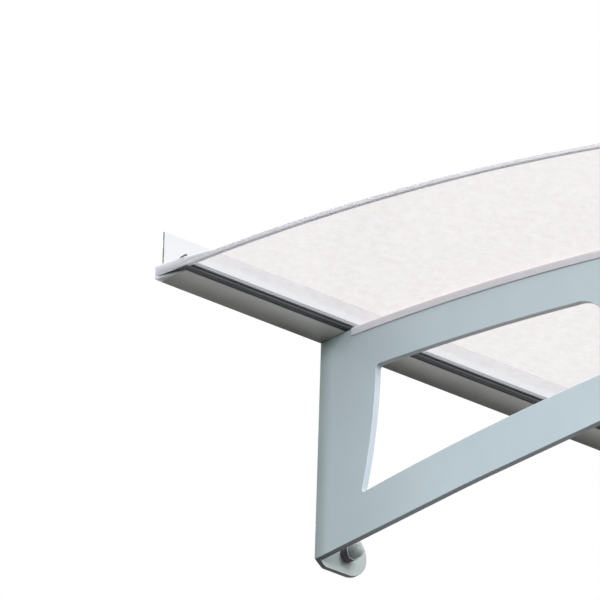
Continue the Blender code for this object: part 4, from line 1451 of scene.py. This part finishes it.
    def casting(self) -> None:
        """The plate with its ears, drilled for the bolts."""
        size = self.shared
        mesh = plate(f"plate_bracket_{self.name}",
                     [self.edge_outline(), self.window(), self.tip_window()],
                     size.plate, section_plane(self.middle), self.edge, 4)
        additions = []
        drills = []
        across = self.side * (self.face - self.bolt_across)
        for level, (height, bolt_z, flip) in self.levels().items():
            additions += [self.ear(level, height, flip), self.corner(level, height, flip)]
            drills.append(drill(f"drill_{level}", size.bolt_bore, -self.fillet_bury,
                                size.ear + self.fillet_bury, wall_plane(across, bolt_z), 32))
        mesh = carve(mesh, additions, 'UNION')
        self.add(carve(mesh, drills, 'DIFFERENCE'), Slot.BRACKET, f"bracket_{self.name}")

    def strip(self) -> None:
        """The channel over the arm's top edge with the bead that carries the sheet."""
        gap = self.shared.gap
        inner = self.shared.plate / 2 + gap
        half = inner + self.strip_wall
        top = self.strip_shoulder
        floor = top - self.strip_height
        roof = top - self.strip_top
        bead = self.bead_width / 2
        section = soft_polygon([
            (-half, floor, SOFT), (-inner, floor, FINE), (-inner, roof, FINE), (inner, roof, FINE),
            (inner, floor, FINE), (half, floor, SOFT), (half, top, self.strip_rounding),
            (bead, top, FINE), (bead, -gap, self.bead_rounding), (-bead, -gap, self.bead_rounding),
            (-bead, top, FINE), (-half, top, self.strip_rounding),
        ])
        profile = [(self.middle + point.x, point.y) for point in section]
        self.add(along_roof(f"arm_channel_{self.name}", profile, self.strip_start,
                            self.arm_reach - self.strip_end_gap, 90),
                 Slot.STRIP, f"arm_strip_{self.name}")

    def make(self) -> None:
        """Makes and dresses the casting and its strip."""
        self.casting()
        self.strip()


@dataclass
class BoltSet(SubAssembly):
    """Collar, washer and domed cover of one wall bolt; the bolt inside stays the CAD's."""

    tag: str = "lower_left"
    across: float = 0.0
    height: float = 0.0
    collar_radius: float = 0.0102
    collar_length: float = 0.0135
    collar_edge: float = 0.0006
    washer_radius: float = 0.0112
    washer: float = 0.0015
    cover_radius: float = 0.0092
    cover_wall: float = 0.0014
    cover_side: float = 0.0040
    rim: Span = (0.0012, 0.0015)
    rim_end: Span = (0.0018, 0.0021)

    def ring(self, kind: str, radius: float, start: float, length: float, edge: float,
             slot: Slot) -> float:
        """A round piece with rounded outer edges.

        Args:
            kind: collar or washer.
            radius: its outer radius.
            start: distance of its back from the wall.
            length: how long it is.
            edge: rounding of its edges.
            slot: its material slot.
        Returns:
            The distance from the wall at which the next piece starts.
        """
        end = start + length
        bore = self.shared.bolt_bore
        profile = [(bore, start), (radius - edge, start)]
        for base, first in ((start + edge, -QUARTER), (end - edge, 0.0)):
            profile += [tuple(point) for point in
                        arc(Vector((radius - edge, base)), edge, first, first + QUARTER, 5)]
        profile = list(dict.fromkeys(profile + [(bore, end)]))
        plane = wall_plane(self.across, self.height)
        self.add(turned(f"{kind}_{self.tag}", profile, plane, closed=True), slot,
                 f"bolt_{kind}_{self.tag}")
        return end + self.shared.gap

    def cover(self, start: float) -> None:
        """The domed cover with a small rim.

        Args:
            start: distance of its open end from the wall.
        """
        radius = self.cover_radius
        inside = radius - self.cover_wall
        centre = Vector((0.0, start + self.cover_side))
        waist = radius - CRISP
        profile = [(inside, start), (radius - FINE, start), (radius, start + FINE),
                   (radius, start + self.rim[0]), (waist, start + self.rim[1]),
                   (waist, start + self.rim_end[0]), (radius, start + self.rim_end[1])]
        profile += [tuple(point) for point in arc(centre, radius, 0.0, QUARTER, 16)[:-1]]
        profile += [(0.0, centre.y + radius), (0.0, centre.y + inside)]
        profile += [tuple(point) for point in arc(centre, inside, QUARTER, 0.0, 12)[1:]]
        plane = wall_plane(self.across, self.height)
        self.add(turned(f"dome_{self.tag}", profile, plane, closed=True), Slot.COVER,
                 f"bolt_cover_{self.tag}")

    def make(self) -> None:
        """Makes and dresses the set from the ear outwards."""
        start = self.shared.ear + self.shared.gap
        start = self.ring("collar", self.collar_radius, start, self.collar_length,
                          self.collar_edge, Slot.COLLAR)
        start = self.ring("washer", self.washer_radius, start, self.washer, FINE, Slot.STEEL)
        self.cover(start)
        self.dress(f"wall_bolt_{self.tag}", Slot.STEEL)


# Studio

@dataclass(frozen=True)
class Lamp:
    """A soft square lamp that points at the canopy."""

    name: str
    place: tuple[float, float, float]
    size: float
    power: float
    color: Color = (1.0, 1.0, 1.0)
    target: tuple[float, float, float] = (-0.2, -0.4, -0.15)

    def build(self) -> None:
        """Puts the lamp into the scene."""
        light = bpy.data.lights.new(self.name, 'AREA')
        light.size = self.size
        light.energy = self.power
        light.color = self.color
        item = bpy.data.objects.new(self.name, light)
        item.location = self.place
        away = Vector(self.place) - Vector(self.target)
        item.rotation_euler = away.to_track_quat('Z', 'Y').to_euler()
        bpy.context.scene.collection.objects.link(item)


@dataclass(frozen=True)
class Studio:
    """Camera, lamps, world and floor."""

    camera_place: tuple[float, float, float] = (-9.210545, -10.656588, -6.565133)
    yaw: float = 39.218473
    pitch: float = 25.553418
    roll: float = 1.755268
    lens: float = 720.0
    sensor: float = 36.0
    clip_end: float = 200.0
    floor_place: tuple[float, float, float] = (0.0, -0.4, -2.40)
    floor_reach: Span = (2.2, 4.4)
    floor_color: Color = (0.82, 0.82, 0.82)
    floor_bounce: Color = (0.16, 0.16, 0.155)
    sky_top: Color = (0.62, 0.64, 0.68)
    sky_low: Color = (0.05, 0.05, 0.047)
    sky_height: Span = (-0.4, 0.6)
    lamps: tuple[Lamp, ...] = (
        Lamp("front_lamp", (-0.6, -3.6, 1.3), 2.4, 128.0),
        Lamp("side_lamp", (-2.7, -1.9, 0.30), 1.4, 60.0, (0.97, 1.0, 1.0)),
        Lamp("right_lamp", (3.2, -1.6, 1.4), 2.4, 60.0),
        Lamp("back_lamp", (0.3, 3.4, 2.2), 2.6, 80.0),
    )

    def camera(self) -> None:
        """A long lens at the photograph's place and angle."""
        yaw, pitch, roll = (math.radians(angle) for angle in (self.yaw, self.pitch, self.roll))
        ahead = Vector((math.sin(yaw) * math.cos(pitch), math.cos(yaw) * math.cos(pitch),
                        math.sin(pitch)))
        level = Vector((math.cos(yaw), -math.sin(yaw), 0.0))
        square = level.cross(ahead)
        right = math.cos(roll) * level + math.sin(roll) * square
        up = math.cos(roll) * square - math.sin(roll) * level
        view = Matrix((right, up, -ahead)).transposed().to_4x4()
        view.translation = self.camera_place
        data = bpy.data.cameras.new("camera")
        data.lens = self.lens
        data.sensor_width = self.sensor
        data.clip_end = self.clip_end
        item = bpy.data.objects.new("camera", data)
        item.matrix_world = view
        bpy.context.scene.collection.objects.link(item)
        bpy.context.scene.camera = item

    def world(self) -> None:
        """White to the camera and in reflections, soft from above for the light itself."""
        world = bpy.data.worlds.new("studio")
        bpy.context.scene.world = world
        world.use_nodes = True
        graph = Graph(world.node_tree)
        path = graph.node("ShaderNodeLightPath")
        seen = Signal(graph, path.outputs["Is Camera Ray"])
        for ray in ("Is Glossy Ray", "Is Transmission Ray"):
            seen = seen.strongest(Signal(graph, path.outputs[ray]))
        spot = graph.node("ShaderNodeTexCoord").outputs["Generated"]
        height = graph.signal("ShaderNodeSeparateXYZ", "Z", {"Vector": spot})
        sky = graph.mix(height.between(*self.sky_height), self.sky_low, self.sky_top)
        soft, white = (graph.node("ShaderNodeBackground", {"Color": color, "Strength": 1.0})
                       for color in (sky, (1.0, 1.0, 1.0)))
        graph.choose(seen, soft, white, "ShaderNodeOutputWorld")

    def floor(self) -> None:
        """A pale round floor that fades out, and that is clear when seen from below."""
        work = bmesh.new()
        bmesh.ops.create_circle(work, cap_ends=True, segments=96, radius=self.floor_reach[1])
        mesh = bpy.data.meshes.new("floor")
        work.to_mesh(mesh)
        work.free()
        material = bpy.data.materials.new("pale_floor")
        material.use_nodes = True
        graph = Graph(material.node_tree)
        distance = graph.signal("ShaderNodeVectorMath", "Value",
                                {"Vector": graph.place((1.0, 1.0, 0.0))}, operation="LENGTH")
        back = graph.signal("ShaderNodeNewGeometry", "Backfacing")
        mottle = graph.shade(self.floor_color, 0.98 + 0.04 * graph.noise(0.5))
        bounce = graph.signal("ShaderNodeLightPath", "Is Diffuse Ray")
        color = graph.mix(bounce, mottle, self.floor_bounce)
        graph.choose(back.strongest(distance.between(*self.floor_reach)),
                     graph.node("ShaderNodeBsdfDiffuse", {"Color": color}),
                     graph.node("ShaderNodeBsdfTransparent"), "ShaderNodeOutputMaterial")
        mesh.materials.append(material)
        item = bpy.data.objects.new("floor", mesh)
        item.location = self.floor_place
        bpy.context.scene.collection.objects.link(item)

    def build(self) -> None:
        """Sets up the studio."""
        bpy.context.scene.view_settings.view_transform = 'Standard'
        self.camera()
        self.world()
        self.floor()
        for lamp in self.lamps:
            lamp.build()
        log.info("Studio: %d lamps", len(self.lamps))


def main() -> None:
    """Builds the sub-assemblies in order, then the studio."""
    logging.basicConfig(level=logging.INFO, format="%(message)s")
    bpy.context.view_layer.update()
    finishes = Finishes()
    WallRail(finishes).build()
    for side, name in SIDES:
        RailEnd(finishes, side=side, name=name).build()
    Roof(finishes).build()
    for side, name in SIDES:
        bracket = Bracket(finishes, side=side, name=name)
        bracket.build()
        across = side * (bracket.face - bracket.bolt_across)
        for level, (_, bolt_z, _) in bracket.levels().items():
            BoltSet(finishes, tag=f"{level}_{name}", across=across, height=bolt_z).build()
    Studio().build()


if __name__ == "__main__":
    main()
